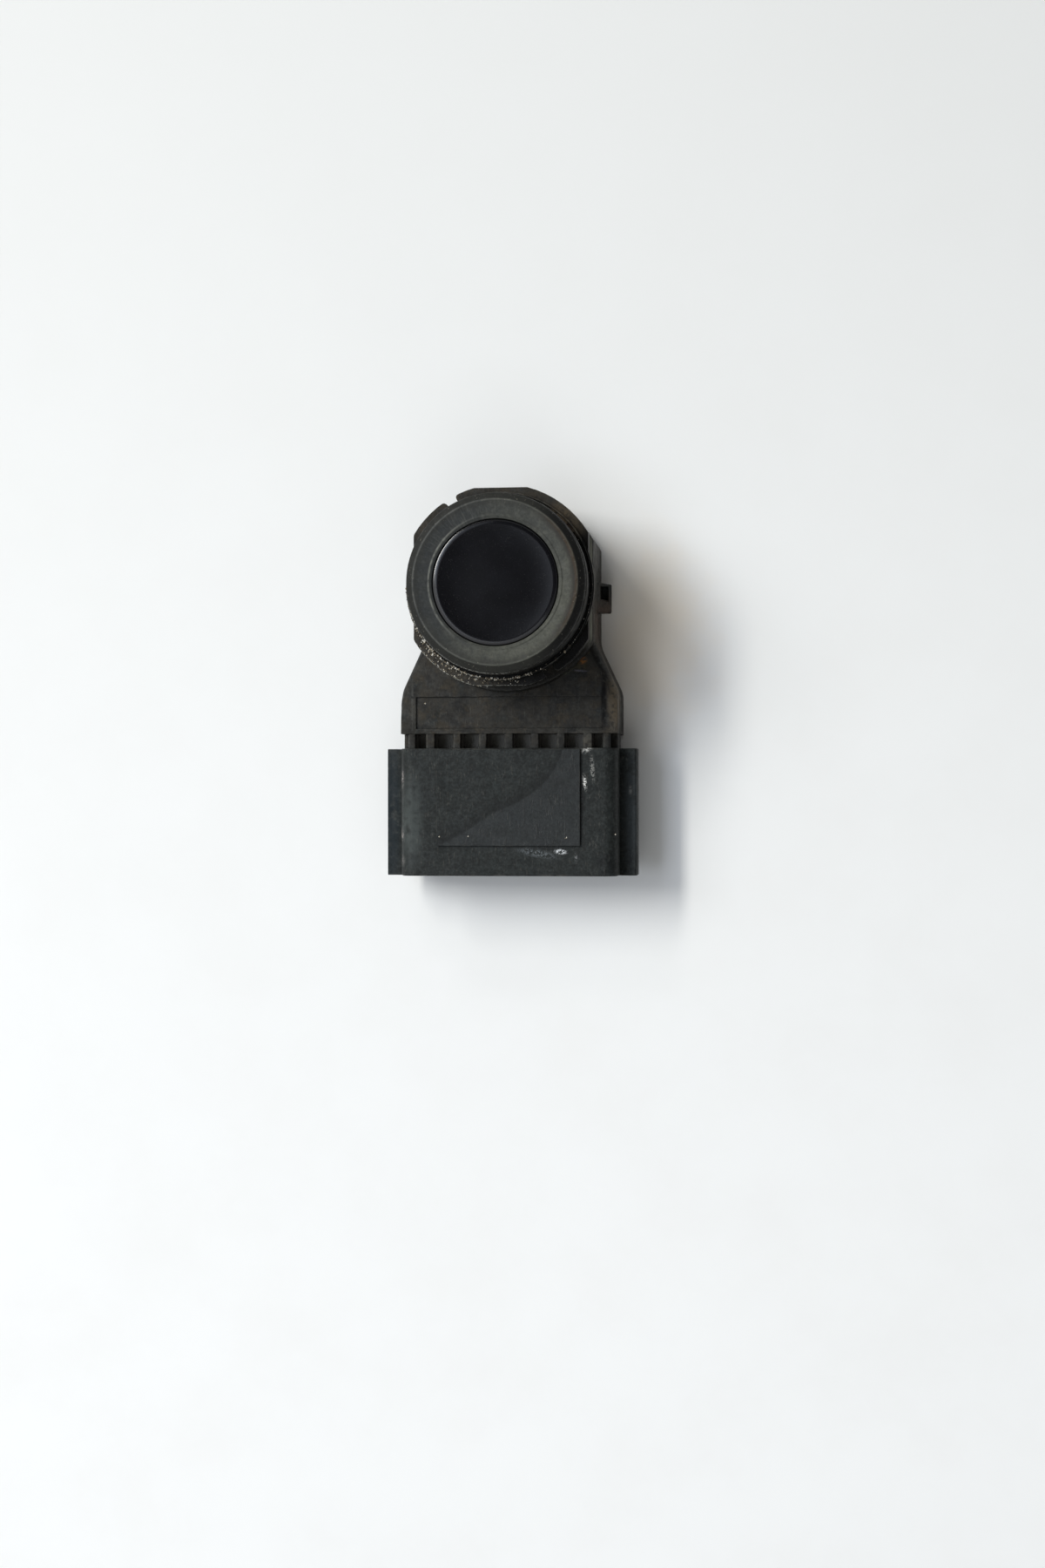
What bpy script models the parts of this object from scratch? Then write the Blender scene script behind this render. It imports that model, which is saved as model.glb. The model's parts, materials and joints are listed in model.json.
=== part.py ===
# Ultrasonic parking sensor: a moulded housing with a round barrel and a connector shroud, and
# everything it holds: the membrane pot in its silicone rings, the circuit board and the terminals.
#
# The origin is on the barrel's axis, at the rear face. +Z is the sensing direction, and the
# connector opens towards -Y. Lengths are in metres, and are written in millimetres times MM.

import math

import bmesh
import bpy
from mathutils import Matrix, Vector

MM = 0.001

# Clearances between neighbouring pieces
SEAT_GAP = 0.3 * MM
SIDE_GAP = 0.2 * MM
SOLDER_GAP = 0.15 * MM

# Roundness: segments in a full turn, and in a rounded corner
TURN_STEPS = 60
PIN_STEPS = 16
CORNER_STEPS = 4

# Housing, plan view. The neck stands out from the barrel, and has a flat on each side.
BODY_HALF_WIDTH = 12.7 * MM
NECK_REACH = 1.45 * MM
NECK_FLAT_DEPTH = 1.55 * MM
SHOULDER_START = 5.8 * MM
SHOULDER_END = 11.5 * MM
SHOULDER_ROUND = 3.0 * MM

# Housing, heights from the rear face up
BODY_HEIGHT = 10.0 * MM
PLINTH_RISE = 1.8 * MM
BRACKET_GAP = 3.8 * MM
LUG_THICKNESS = 1.6 * MM
FLANGE_THICKNESS = 1.1 * MM
RIM_RISE = 2.9 * MM
DECK_ROUND = 1.3 * MM

# Barrel and its lug ring. The barrel's radius follows from the pot, the soft ring and its wall.
BARREL_WALL = 1.3 * MM
WAIST_INSET = 0.35 * MM
RIM_ROUND = 0.35 * MM
FLANGE_REACH = 0.5 * MM
LUG_REACH = 1.45 * MM
LUG_SIDE_FLAT_DEPTH = 1.65 * MM
LUG_END_FLAT_DEPTH = 0.4 * MM
NOTCH_WIDTH = 1.3 * MM
NOTCH_ANGLES = (120.0, 300.0)
NOTCH_DEPTH = 1.2 * MM
NOTCH_ROUND = 0.45 * MM
SEAT_THICKNESS = 1.3 * MM
SEAT_WIDTH = 2.85 * MM
CHAMBER_WALL = 1.2 * MM

# Deck details
MARK_FIELD_INSET = 1.8 * MM
MARK_FIELD_LENGTH = 3.7 * MM
MARK_FIELD_DEPTH = 0.3 * MM
MARK_FIELD_MARGIN = 0.6 * MM

# Ribbed groove between body and shroud
GROOVE_START = 16.4 * MM
GROOVE_LENGTH = 1.7 * MM
POCKET_WIDTH = 2.1 * MM
RIB_WIDTH = 0.95 * MM
END_POCKET_WIDTH = 1.2 * MM
END_RIB_WIDTH = 0.85 * MM
POCKET_DEPTH = 3.0 * MM
COMB_INSET = 0.9 * MM
RIB_SINK = 0.1 * MM
SIDE_RIB_THICKNESS = 4.8 * MM
JOIN_OVERLAP = 0.4 * MM

# Connector shroud
SHROUD_LENGTH = 14.85 * MM
SHROUD_FLARE = 0.05 * MM
SHROUD_HEIGHT = 9.8 * MM
SHROUD_STEP = 0.5 * MM
SHROUD_ROUND = 2.5 * MM
SHROUD_WALL = 1.5 * MM
SHROUD_BACK_WALL = 1.5 * MM
PAD_INSET = 4.35 * MM
PAD_RISE = 0.35 * MM
PAD_MARGIN = 3.5 * MM
LATCH_HALF_WIDTH = 4.2 * MM
LATCH_DEPTH = 0.7 * MM
CATCH_HALF_WIDTH = 2.4 * MM
CATCH_LENGTH = 1.6 * MM
CATCH_MARGIN = 1.4 * MM
KEY_RIB_SETBACK = 3.05 * MM
KEY_RIB_WIDTH = 0.9 * MM
KEY_RIB_HEIGHT = 0.9 * MM
RAIL_HEIGHT = 3.4 * MM
RAIL_WEB = 1.1 * MM
RAIL_LIP = 0.9 * MM
RAIL_REACH = 2.0 * MM

# Side catches of the body
TAB_REACH = 1.45 * MM
TAB_LENGTH = 3.4 * MM
TAB_OFFSET = 0.3 * MM
TAB_HEIGHT = 4.0 * MM
TAB_FOOT = 2.6 * MM
TAB_NOSE = 0.9 * MM
TAB_CORE = 1.6 * MM

# Electronics bay and rear cover
BAY_WALL = 1.6 * MM
BAY_END = 14.6 * MM
DECK_WALL = 1.4 * MM
COVER_LEDGE = 0.8 * MM
COVER_THICKNESS = 1.0 * MM
POST_RADIUS = 0.6 * MM
POST_SETBACK = 1.2 * MM
POST_ANGLES = (45.0, 135.0)

# Circuit board and terminals
BOARD_THICKNESS = 1.0 * MM
BOARD_MARGIN = 0.3 * MM
TERMINAL_RISE = 1.3 * MM
TERMINAL_PITCH = 4.5 * MM
BLADE_WIDTH = 1.5 * MM
BLADE_THICKNESS = 0.64 * MM
BLADE_REACH = 9.0 * MM
BLADE_TAPER = 0.9 * MM
LEG_SETBACK = 2.0 * MM
LEG_TAIL = 0.8 * MM

# Membrane pot and what is in it
POT_RADIUS = 7.0 * MM
POT_WALL = 1.0 * MM
POT_FLOOR = 0.8 * MM
POT_ROUND = 0.3 * MM
POT_FLANGE_REACH = 0.7 * MM
POT_FLANGE_THICKNESS = 1.0 * MM
MEMBRANE_DROP = 0.4 * MM
PIEZO_MARGIN = 1.8 * MM
PIEZO_THICKNESS = 0.5 * MM
ABSORBER_THICKNESS = 3.1 * MM
CONTACT_X = 2.2 * MM
CONTACT_Y = -3.0 * MM
CONTACT_RADIUS = 0.32 * MM
CONTACT_HEAD = 1.9 * MM
LEAD_RADIUS = 0.2 * MM
LEAD_BOW = 0.2 * MM
LEAD_POINTS = 9

# Silicone rings and contact carrier
RING_WIDTH = 1.85 * MM
RING_CREST_INSET = 0.95 * MM
RING_CREST_RISE = 1.4 * MM
RING_SKIRT = 0.5 * MM
RING_DISH = 0.3 * MM
RING_SKIRT_INSET = 0.1 * MM
LIP_COUNT = 2
LIP_DEPTH = 0.3 * MM
CARRIER_INSET = 1.45 * MM
CARRIER_THICKNESS = 1.2 * MM
DAMPER_THICKNESS = 0.8 * MM
DAMPER_WIDTH = 2.45 * MM

# Transformer, a drum core on a moulded base
TRANSFORMER_SETBACK = 8.4 * MM
TRANSFORMER_BASE = 6.2 * MM
TRANSFORMER_BASE_THICKNESS = 0.8 * MM
DRUM_RADIUS = 2.8 * MM
DRUM_HEIGHT = 3.3 * MM
DRUM_FLANGE = 0.6 * MM
DRUM_SHAFT_RADIUS = 1.2 * MM
WINDING_INSET = 0.35 * MM

# Storage capacitor, a can on a moulded base
CAPACITOR_SETBACK = 3.75 * MM
CAPACITOR_RADIUS = 1.5 * MM
CAPACITOR_HEIGHT = 2.4 * MM
CAPACITOR_BASE_THICKNESS = 0.6 * MM
CAPACITOR_CRIMP = 0.2 * MM

# Small components on the board, and the rows that they stand in
CHIP_SIDE = 4.6 * MM
CHIP_HEIGHT = 0.9 * MM
RESONATOR_WIDTH = 3.2 * MM
RESONATOR_LENGTH = 2.5 * MM
RESONATOR_HEIGHT = 0.8 * MM
DIODE_WIDTH = 2.7 * MM
DIODE_LENGTH = 1.6 * MM
DIODE_HEIGHT = 1.1 * MM
TANTALUM_WIDTH = 3.2 * MM
TANTALUM_SIDE = 1.6 * MM
FILTER_WIDTH = 2.0 * MM
FILTER_LENGTH = 1.25 * MM
FILTER_HEIGHT = 0.9 * MM
RESISTOR_WIDTH = 1.6 * MM
RESISTOR_LENGTH = 0.8 * MM
RESISTOR_HEIGHT = 0.45 * MM
CHIP_ROW_SETBACK = 6.0 * MM
LEG_ROW_SETBACK = 2.5 * MM
DIODE_SETBACK = 3.4 * MM
FILTER_PITCH = 2.8 * MM
FILTER_OFFSET = 0.8 * MM
COLUMN_SETBACK = 4.45 * MM
RESISTOR_PITCH = 1.5 * MM
RESISTOR_START = 0.6 * MM
FRONT_PLACE = 3.4 * MM

# Radii and widths that follow from the sizes above
BORE_RADIUS = POT_RADIUS + RING_WIDTH
BARREL_RADIUS = BORE_RADIUS + BARREL_WALL
WAIST_RADIUS = BARREL_RADIUS - WAIST_INSET
CHAMBER_RADIUS = WAIST_RADIUS - CHAMBER_WALL
SEAT_OPENING_RADIUS = BORE_RADIUS - SEAT_WIDTH
FLANGE_RADIUS = BARREL_RADIUS + FLANGE_REACH
LUG_RADIUS = BARREL_RADIUS + LUG_REACH
LUG_FLAT_X = LUG_RADIUS - LUG_SIDE_FLAT_DEPTH
LUG_FLAT_Y = LUG_RADIUS - LUG_END_FLAT_DEPTH
NECK_RADIUS = BARREL_RADIUS + NECK_REACH
NECK_HALF_WIDTH = NECK_RADIUS - NECK_FLAT_DEPTH
MARK_FIELD_HALF_WIDTH = BODY_HALF_WIDTH - MARK_FIELD_INSET
COMB_HALF_WIDTH = BODY_HALF_WIDTH - COMB_INSET
SHROUD_HALF_WIDTH = BODY_HALF_WIDTH + SHROUD_FLARE
PAD_HALF_WIDTH = SHROUD_HALF_WIDTH - PAD_INSET
KEY_RIB_X = SHROUD_HALF_WIDTH - SHROUD_WALL - KEY_RIB_SETBACK
BOARD_HALF_WIDTH = BODY_HALF_WIDTH - BAY_WALL - BOARD_MARGIN
PIEZO_RADIUS = POT_RADIUS - POT_WALL - PIEZO_MARGIN
CARRIER_RADIUS = BORE_RADIUS - CARRIER_INSET
DAMPER_RADIUS = BORE_RADIUS - SIDE_GAP

# The groove's pockets: pairs of equal ones about the middle, and a narrow one at each end
POCKET_PITCH = POCKET_WIDTH + RIB_WIDTH
END_POCKET_START = COMB_HALF_WIDTH - END_RIB_WIDTH - END_POCKET_WIDTH
POCKET_PAIRS = int((END_POCKET_START - RIB_WIDTH / 2) / POCKET_PITCH)

# Heights that follow from the sizes above
DECK_Z = BODY_HEIGHT
PLINTH_Z = DECK_Z + PLINTH_RISE
LUG_Z = PLINTH_Z + BRACKET_GAP
FLANGE_Z = LUG_Z + LUG_THICKNESS
FLANGE_TOP_Z = FLANGE_Z + FLANGE_THICKNESS
RIM_Z = FLANGE_TOP_Z + RIM_RISE
CREST_Z = RIM_Z + RING_CREST_RISE
MEMBRANE_Z = CREST_Z - MEMBRANE_DROP
CEILING_Z = DECK_Z - DECK_WALL
SHROUD_TOP_Z = DECK_Z + SHROUD_STEP
SHROUD_FOOT_Z = SHROUD_TOP_Z - SHROUD_HEIGHT
TERMINAL_Z = (SHROUD_TOP_Z + SHROUD_FOOT_Z) / 2
BOARD_TOP_Z = TERMINAL_Z - TERMINAL_RISE
BOARD_Z = BOARD_TOP_Z - BOARD_THICKNESS
LEDGE_Z = COVER_THICKNESS + SEAT_GAP

# The transducer stack, from the membrane down to the seat in the barrel
POT_INNER_Z = MEMBRANE_Z - POT_FLOOR
PIEZO_Z = POT_INNER_Z - SEAT_GAP - PIEZO_THICKNESS
ABSORBER_Z = PIEZO_Z - SEAT_GAP - ABSORBER_THICKNESS
SEAT_Z = PLINTH_Z + PLINTH_RISE / 2
DAMPER_TOP_Z = SEAT_Z + SEAT_GAP + DAMPER_THICKNESS
CARRIER_TOP_Z = DAMPER_TOP_Z + SEAT_GAP + CARRIER_THICKNESS
POT_REAR_Z = CARRIER_TOP_Z + SEAT_GAP
POT_FLANGE_TOP_Z = POT_REAR_Z + POT_FLANGE_THICKNESS
CONTACT_TOP_Z = CARRIER_TOP_Z + CONTACT_HEAD

# Places along the connector's direction
GROOVE_END = GROOVE_START + GROOVE_LENGTH
MOUTH = GROOVE_END + SHROUD_LENGTH
SOCKET_END = GROOVE_END + SHROUD_BACK_WALL
LEG_PLACE = BAY_END - LEG_SETBACK
TERMINAL_XS = {"supply": -TERMINAL_PITCH, "signal": 0.0, "ground": TERMINAL_PITCH}

# Places on the board
TRANSFORMER_Y = NECK_RADIUS - TRANSFORMER_SETBACK
COLUMN_X = NECK_HALF_WIDTH - COLUMN_SETBACK
CHIP_ROW_Y = -LEG_PLACE + CHIP_ROW_SETBACK
LEG_ROW_Y = -LEG_PLACE + LEG_ROW_SETBACK
CAPACITOR_X = -NECK_HALF_WIDTH + CAPACITOR_SETBACK
CHIP_SIZE = (CHIP_SIDE, CHIP_SIDE, CHIP_HEIGHT)
RESONATOR_SIZE = (RESONATOR_WIDTH, RESONATOR_LENGTH, RESONATOR_HEIGHT)
DIODE_SIZE = (DIODE_WIDTH, DIODE_LENGTH, DIODE_HEIGHT)
TANTALUM_SIZE = (TANTALUM_WIDTH, TANTALUM_SIDE, TANTALUM_SIDE)
FILTER_SIZE = (FILTER_WIDTH, FILTER_LENGTH, FILTER_HEIGHT)
RESISTOR_SIZE = (RESISTOR_WIDTH, RESISTOR_LENGTH, RESISTOR_HEIGHT)
SMALL_COMPONENTS = {
    "driver_chip": (0.0, CHIP_ROW_Y, CHIP_SIZE, "epoxy"),
    "resonator": (COLUMN_X, CHIP_ROW_Y, RESONATOR_SIZE, "aluminium"),
    "supply_diode": (BOARD_HALF_WIDTH - DIODE_SETBACK, LEG_ROW_Y, DIODE_SIZE, "epoxy"),
    "tantalum_capacitor": (-TERMINAL_PITCH, LEG_ROW_Y, TANTALUM_SIZE, "epoxy"),
    "filter_capacitor_1": (FILTER_OFFSET - FILTER_PITCH / 2, LEG_ROW_Y, FILTER_SIZE, "carrier_plastic"),
    "filter_capacitor_2": (FILTER_OFFSET + FILTER_PITCH / 2, LEG_ROW_Y, FILTER_SIZE, "carrier_plastic"),
    "filter_capacitor_3": (COLUMN_X, FRONT_PLACE, FILTER_SIZE, "carrier_plastic"),
    "resistor_1": (COLUMN_X, RESISTOR_START, RESISTOR_SIZE, "epoxy"),
    "resistor_2": (COLUMN_X, RESISTOR_START - RESISTOR_PITCH, RESISTOR_SIZE, "epoxy"),
    "resistor_3": (COLUMN_X, RESISTOR_START - 2 * RESISTOR_PITCH, RESISTOR_SIZE, "epoxy"),
    "resistor_4": (-COLUMN_X, RESISTOR_START, RESISTOR_SIZE, "epoxy"),
    "resistor_5": (-COLUMN_X, RESISTOR_START - RESISTOR_PITCH, RESISTOR_SIZE, "epoxy"),
    "resistor_6": (-COLUMN_X, FRONT_PLACE, RESISTOR_SIZE, "epoxy"),
}

# Base colour, roughness, metallic
FINISHES = {
    "glass_filled_nylon": ((0.042, 0.043, 0.042), 0.55, 0.0),
    "cover_nylon": ((0.036, 0.037, 0.037), 0.5, 0.0),
    "silicone": ((0.11, 0.112, 0.105), 0.6, 0.0),
    "black_lacquer": ((0.008, 0.008, 0.010), 0.18, 0.0),
    "tinned_brass": ((0.60, 0.58, 0.53), 0.3, 1.0),
    "ceramic": ((0.55, 0.53, 0.45), 0.6, 0.0),
    "foam": ((0.20, 0.20, 0.21), 0.95, 0.0),
    "carrier_plastic": ((0.55, 0.50, 0.38), 0.5, 0.0),
    "board_laminate": ((0.02, 0.13, 0.05), 0.4, 0.0),
    "epoxy": ((0.02, 0.02, 0.022), 0.5, 0.0),
    "ferrite": ((0.05, 0.05, 0.052), 0.6, 0.0),
    "copper": ((0.60, 0.24, 0.10), 0.35, 1.0),
    "aluminium": ((0.62, 0.63, 0.65), 0.3, 1.0),
}


def clear_scene():
    for obj in list(bpy.data.objects):
        bpy.data.objects.remove(obj, do_unlink=True)


def new_collection(name):
    collection = bpy.data.collections.new(name)
    bpy.context.scene.collection.children.link(collection)
    return collection


def finish(name):
    """The named material, made the first time that it is asked for."""
    material = bpy.data.materials.get(name)
    if material:
        return material
    colour, roughness, metallic = FINISHES[name]
    material = bpy.data.materials.new(name)
    material.use_nodes = True
    shader = material.node_tree.nodes["Principled BSDF"]
    shader.inputs["Base Color"].default_value = (*colour, 1.0)
    shader.inputs["Roughness"].default_value = roughness
    shader.inputs["Metallic"].default_value = metallic
    return material


def add_object(name, mesh, material=None):
    """A piece of the sensor if it has a material, and otherwise a helper for cuts and joins."""
    obj = bpy.data.objects.new(name, mesh)
    if material:
        mesh.materials.append(finish(material))
        pieces.objects.link(obj)
        obj.parent = carrier_empty
    else:
        helpers.objects.link(obj)
        obj.hide_render = True
        obj.display_type = "WIRE"
    return obj


def arc(centre, radius, start, end, steps):
    """Points on an arc about a centre, from one angle to another in degrees."""
    points = []
    for i in range(steps + 1):
        angle = math.radians(start + (end - start) * i / steps)
        points.append(
            (
                centre[0] + radius * math.cos(angle),
                centre[1] + radius * math.sin(angle),
            )
        )
    return points


def rounded(corners, steps=CORNER_STEPS):
    """The outline through corners (x, y, radius), each rounded as far as its edges allow."""
    points = []
    count = len(corners)
    for i, (x, y, radius) in enumerate(corners):
        if radius <= 0:
            points.append((x, y))
            continue
        here = Vector((x, y))
        back = Vector(corners[i - 1][:2]) - here
        ahead = Vector(corners[(i + 1) % count][:2]) - here
        half = back.angle(ahead) / 2
        reach = min(
            radius / math.tan(half),
            0.49 * back.length,
            0.49 * ahead.length,
        )
        centre = here + (back.normalized() + ahead.normalized()).normalized() * (
            reach / math.cos(half)
        )
        first = here + back.normalized() * reach - centre
        last = here + ahead.normalized() * reach - centre
        turn = first.angle_signed(last)
        for k in range(steps + 1):
            swung = first.copy()
            swung.rotate(Matrix.Rotation(-turn * k / steps, 2))
            points.append(tuple(centre + swung))
    return points


def inset(loop, distance):
    """A counter-clockwise outline moved inwards by an even distance."""
    moved = []
    for i, point in enumerate(loop):
        here = Vector(point)
        back = (here - Vector(loop[i - 1])).normalized()
        ahead = (Vector(loop[(i + 1) % len(loop)]) - here).normalized()
        normal = Vector((-back.y - ahead.y, back.x + ahead.x)).normalized()
        square = Vector((-back.y, back.x))
        moved.append(tuple(here + normal * (distance / normal.dot(square))))
    return moved


def prism(name, loop, low, high, along="Z", material=None):
    """An outline extruded from low to high along an axis. It is (x, y), (x, z) or (y, z)."""
    place = {
        "Z": lambda a, b: (a, b, low),
        "Y": lambda a, b: (a, low, b),
        "X": lambda a, b: (low, a, b),
    }[along]
    push = {"Z": (0, 0, 1), "Y": (0, 1, 0), "X": (1, 0, 0)}[along]
    bm = bmesh.new()
    face = bm.faces.new([bm.verts.new(place(a, b)) for a, b in loop])
    made = bmesh.ops.extrude_face_region(bm, geom=[face])
    moved = [v for v in made["geom"] if isinstance(v, bmesh.types.BMVert)]
    bmesh.ops.translate(bm, vec=Vector(push) * (high - low), verts=moved)
    bmesh.ops.recalc_face_normals(bm, faces=bm.faces)
    mesh = bpy.data.meshes.new(name)
    bm.to_mesh(mesh)
    bm.free()
    return add_object(name, mesh, material)


def block(name, low, high, material=None):
    """A box between two corners."""
    size = Vector(high) - Vector(low)
    bm = bmesh.new()
    bmesh.ops.create_cube(bm, size=1.0)
    bmesh.ops.scale(bm, vec=size, verts=bm.verts)
    bmesh.ops.translate(bm, vec=(Vector(low) + Vector(high)) / 2, verts=bm.verts)
    mesh = bpy.data.meshes.new(name)
    bm.to_mesh(mesh)
    bm.free()
    return add_object(name, mesh, material)


def rod(name, radius, low, high, at=(0.0, 0.0), material=None, steps=PIN_STEPS):
    """An upright cylinder from one height to another."""
    bm = bmesh.new()
    bmesh.ops.create_cone(
        bm,
        cap_ends=True,
        segments=steps,
        radius1=radius,
        radius2=radius,
        depth=high - low,
    )
    bmesh.ops.translate(bm, vec=(*at, (low + high) / 2), verts=bm.verts)
    mesh = bpy.data.meshes.new(name)
    bm.to_mesh(mesh)
    bm.free()
    return add_object(name, mesh, material)


def turned(name, profile, material=None, closed=False, at=(0.0, 0.0), steps=TURN_STEPS):
    """A profile of (radius, height) turned about a vertical axis. Its outer side runs downwards."""
    mesh = bpy.data.meshes.new(name)
    edges = [(i, i + 1) for i in range(len(profile) - 1)]
    if closed:
        edges.append((len(profile) - 1, 0))
    mesh.from_pydata([(r, 0.0, z) for r, z in profile], edges, [])
    obj = add_object(name, mesh, material)
    obj.location = (*at, 0.0)
    screw = obj.modifiers.new("turn", "SCREW")
    screw.axis = "Z"
    screw.angle = math.tau
    screw.steps = screw.render_steps = steps
    screw.use_merge_vertices = True
    screw.merge_threshold = 1e-5
    screw.use_smooth_shade = True
    return obj


def boolean(obj, other, operation):
    modifier = obj.modifiers.new(f"{operation.lower()} {other.name}", "BOOLEAN")
    modifier.operation = operation
    modifier.solver = "EXACT"
    modifier.object = other


def join(obj, other):
    boolean(obj, other, "UNION")


def cut(obj, other):
    boolean(obj, other, "DIFFERENCE")


def round_edges(obj, width, chosen, steps=CORNER_STEPS):
    """Rounds the edges that the test picks, given an edge's two end points."""
    bm = bmesh.new()
    bm.from_mesh(obj.data)
    weight = bm.edges.layers.float.new("bevel_weight_edge")
    for edge in bm.edges:
        edge[weight] = 1.0 if chosen(edge.verts[0].co, edge.verts[1].co) else 0.0
    bm.to_mesh(obj.data)
    bm.free()
    bevel = obj.modifiers.new("round", "BEVEL")
    bevel.limit_method = "WEIGHT"
    bevel.width = width
    bevel.segments = steps
    bevel.use_clamp_overlap = False


def at_height(z):
    return lambda a, b: abs(a.z - z) < 1e-7 and abs(b.z - z) < 1e-7


def body_plan(end):
    """Plan of the housing's body: a round neck that widens at the shoulders, up to -Y end."""
    side = math.degrees(math.acos(NECK_HALF_WIDTH / NECK_RADIUS))
    right = [
        (BODY_HALF_WIDTH, -end, 0.0),
        (BODY_HALF_WIDTH, -SHOULDER_END, SHOULDER_ROUND),
        (NECK_HALF_WIDTH, -SHOULDER_START, SHOULDER_ROUND),
    ]
    crown = arc((0, 0), NECK_RADIUS, side, 180 - side, TURN_STEPS // 3)
    left = [(-x, y, r) for x, y, r in reversed(right)]
    return rounded(right + [(x, y, 0.0) for x, y in crown] + left)


def plinth_plan():
    """Plan of the low plinth round the barrel's foot: a circle with two flat sides."""
    side = math.degrees(math.acos(NECK_HALF_WIDTH / NECK_RADIUS))
    steps = TURN_STEPS // 3
    return arc((0, 0), NECK_RADIUS, side, 180 - side, steps) + arc(
        (0, 0), NECK_RADIUS, 180 + side, 360 - side, steps
    )


def lug_plan():
    """Plan of the lug ring: a circle with four flats and two notches with rounded ends."""
    low = math.degrees(math.acos(LUG_FLAT_X / LUG_RADIUS))
    high = math.degrees(math.asin(LUG_FLAT_Y / LUG_RADIUS))
    half = math.degrees(NOTCH_WIDTH / 2 / LUG_RADIUS)
    floor = LUG_RADIUS - NOTCH_DEPTH
    corners = []
    for start, end in (
        (low, high),
        (180 - high, 180 - low),
        (180 + low, 180 + high),
        (360 - high, 360 - low),
    ):
        notch = next((a for a in NOTCH_ANGLES if start < a < end), None)
        if notch is None:
            corners += [(x, y, 0.0) for x, y in arc((0, 0), LUG_RADIUS, start, end, 8)]
            continue
        before = arc((0, 0), LUG_RADIUS, start, notch - half, 3)
        after = arc((0, 0), LUG_RADIUS, notch + half, end, 5)
        bottom = arc((0, 0), floor, notch - half, notch + half, 1)
        corners += [(x, y, 0.0) for x, y in before[:-1]]
        corners.append((*before[-1], NOTCH_ROUND))
        corners += [(x, y, 0.0) for x, y in bottom]
        corners.append((*after[0], NOTCH_ROUND))
        corners += [(x, y, 0.0) for x, y in after[1:]]
    return rounded(corners)


def pocket_edges():
    """The groove's pockets on one face as (left, right) pairs, from -X to +X."""
    pockets = [
        (side * (i + 0.5) * POCKET_PITCH, POCKET_WIDTH)
        for i in range(POCKET_PAIRS)
        for side in (-1, 1)
    ]
    end_centre = END_POCKET_START + END_POCKET_WIDTH / 2
    pockets += [(side * end_centre, END_POCKET_WIDTH) for side in (-1, 1)]
    return sorted((x - width / 2, x + width / 2) for x, width in pockets)


def comb_section():
    """Section across the groove: a core with ribs that stand up to the deck, rear and sides."""
    top = DECK_Z - RIB_SINK
    foot = SHROUD_FOOT_Z + RIB_SINK
    core_top = DECK_Z - POCKET_DEPTH
    core_foot = TERMINAL_Z - (core_top - TERMINAL_Z) - SEAT_GAP
    rib_low = TERMINAL_Z - SIDE_RIB_THICKNESS / 2
    rib_high = TERMINAL_Z + SIDE_RIB_THICKNESS / 2
    reach = BODY_HALF_WIDTH - RIB_SINK
    loop = [(-COMB_HALF_WIDTH, foot)]
    for left, right in pocket_edges():
        loop += [(left, foot), (left, core_foot), (right, core_foot), (right, foot)]
    loop += [
        (COMB_HALF_WIDTH, foot),
        (COMB_HALF_WIDTH, rib_low),
        (reach, rib_low),
        (reach, rib_high),
        (COMB_HALF_WIDTH, rib_high),
        (COMB_HALF_WIDTH, top),
    ]
    for left, right in reversed(pocket_edges()):
        loop += [(right, top), (right, core_top), (left, core_top), (left, top)]
    loop += [
        (-COMB_HALF_WIDTH, top),
        (-COMB_HALF_WIDTH, rib_high),
        (-reach, rib_high),
        (-reach, rib_low),
        (-COMB_HALF_WIDTH, rib_low),
    ]
    return loop


def shroud_section():
    """Section of the connector shroud: a rounded tube with a rear-lipped rail on each side."""
    w = SHROUD_HALF_WIDTH
    rail = TERMINAL_Z - RAIL_HEIGHT / 2
    tip = w + RAIL_REACH
    right = [
        (w, SHROUD_FOOT_Z, SHROUD_ROUND),
        (w, rail + RAIL_HEIGHT - RAIL_WEB, 0.0),
        (tip - RAIL_LIP, rail + RAIL_HEIGHT - RAIL_WEB, 0.0),
        (tip - RAIL_LIP, rail, RAIL_LIP / 3),
        (tip, rail, RAIL_LIP / 3),
        (tip, rail + RAIL_HEIGHT, RAIL_LIP / 3),
        (w, rail + RAIL_HEIGHT, 0.0),
        (w, SHROUD_TOP_Z, SHROUD_ROUND),
    ]
    left = [(-x, z, r) for x, z, r in reversed(right)]
    return rounded(right + left)


def socket_section():
    """Section of the socket: the tube's inside, a latch channel above and two key ribs below."""
    w = SHROUD_HALF_WIDTH - SHROUD_WALL
    top = SHROUD_TOP_Z - SHROUD_WALL
    foot = SHROUD_FOOT_Z + SHROUD_WALL
    turn = SHROUD_ROUND - SHROUD_WALL / 2
    key = KEY_RIB_WIDTH / 2
    right = [
        (KEY_RIB_X - key, foot, 0.0),
        (KEY_RIB_X - key, foot + KEY_RIB_HEIGHT, 0.0),
        (KEY_RIB_X + key, foot + KEY_RIB_HEIGHT, 0.0),
        (KEY_RIB_X + key, foot, 0.0),
        (w, foot, turn),
        (w, top, turn),
        (LATCH_HALF_WIDTH, top, 0.0),
        (LATCH_HALF_WIDTH, top + LATCH_DEPTH, 0.0),
    ]
    left = [(-x, z, r) for x, z, r in reversed(right)]
    return rounded(right + left)


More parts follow.
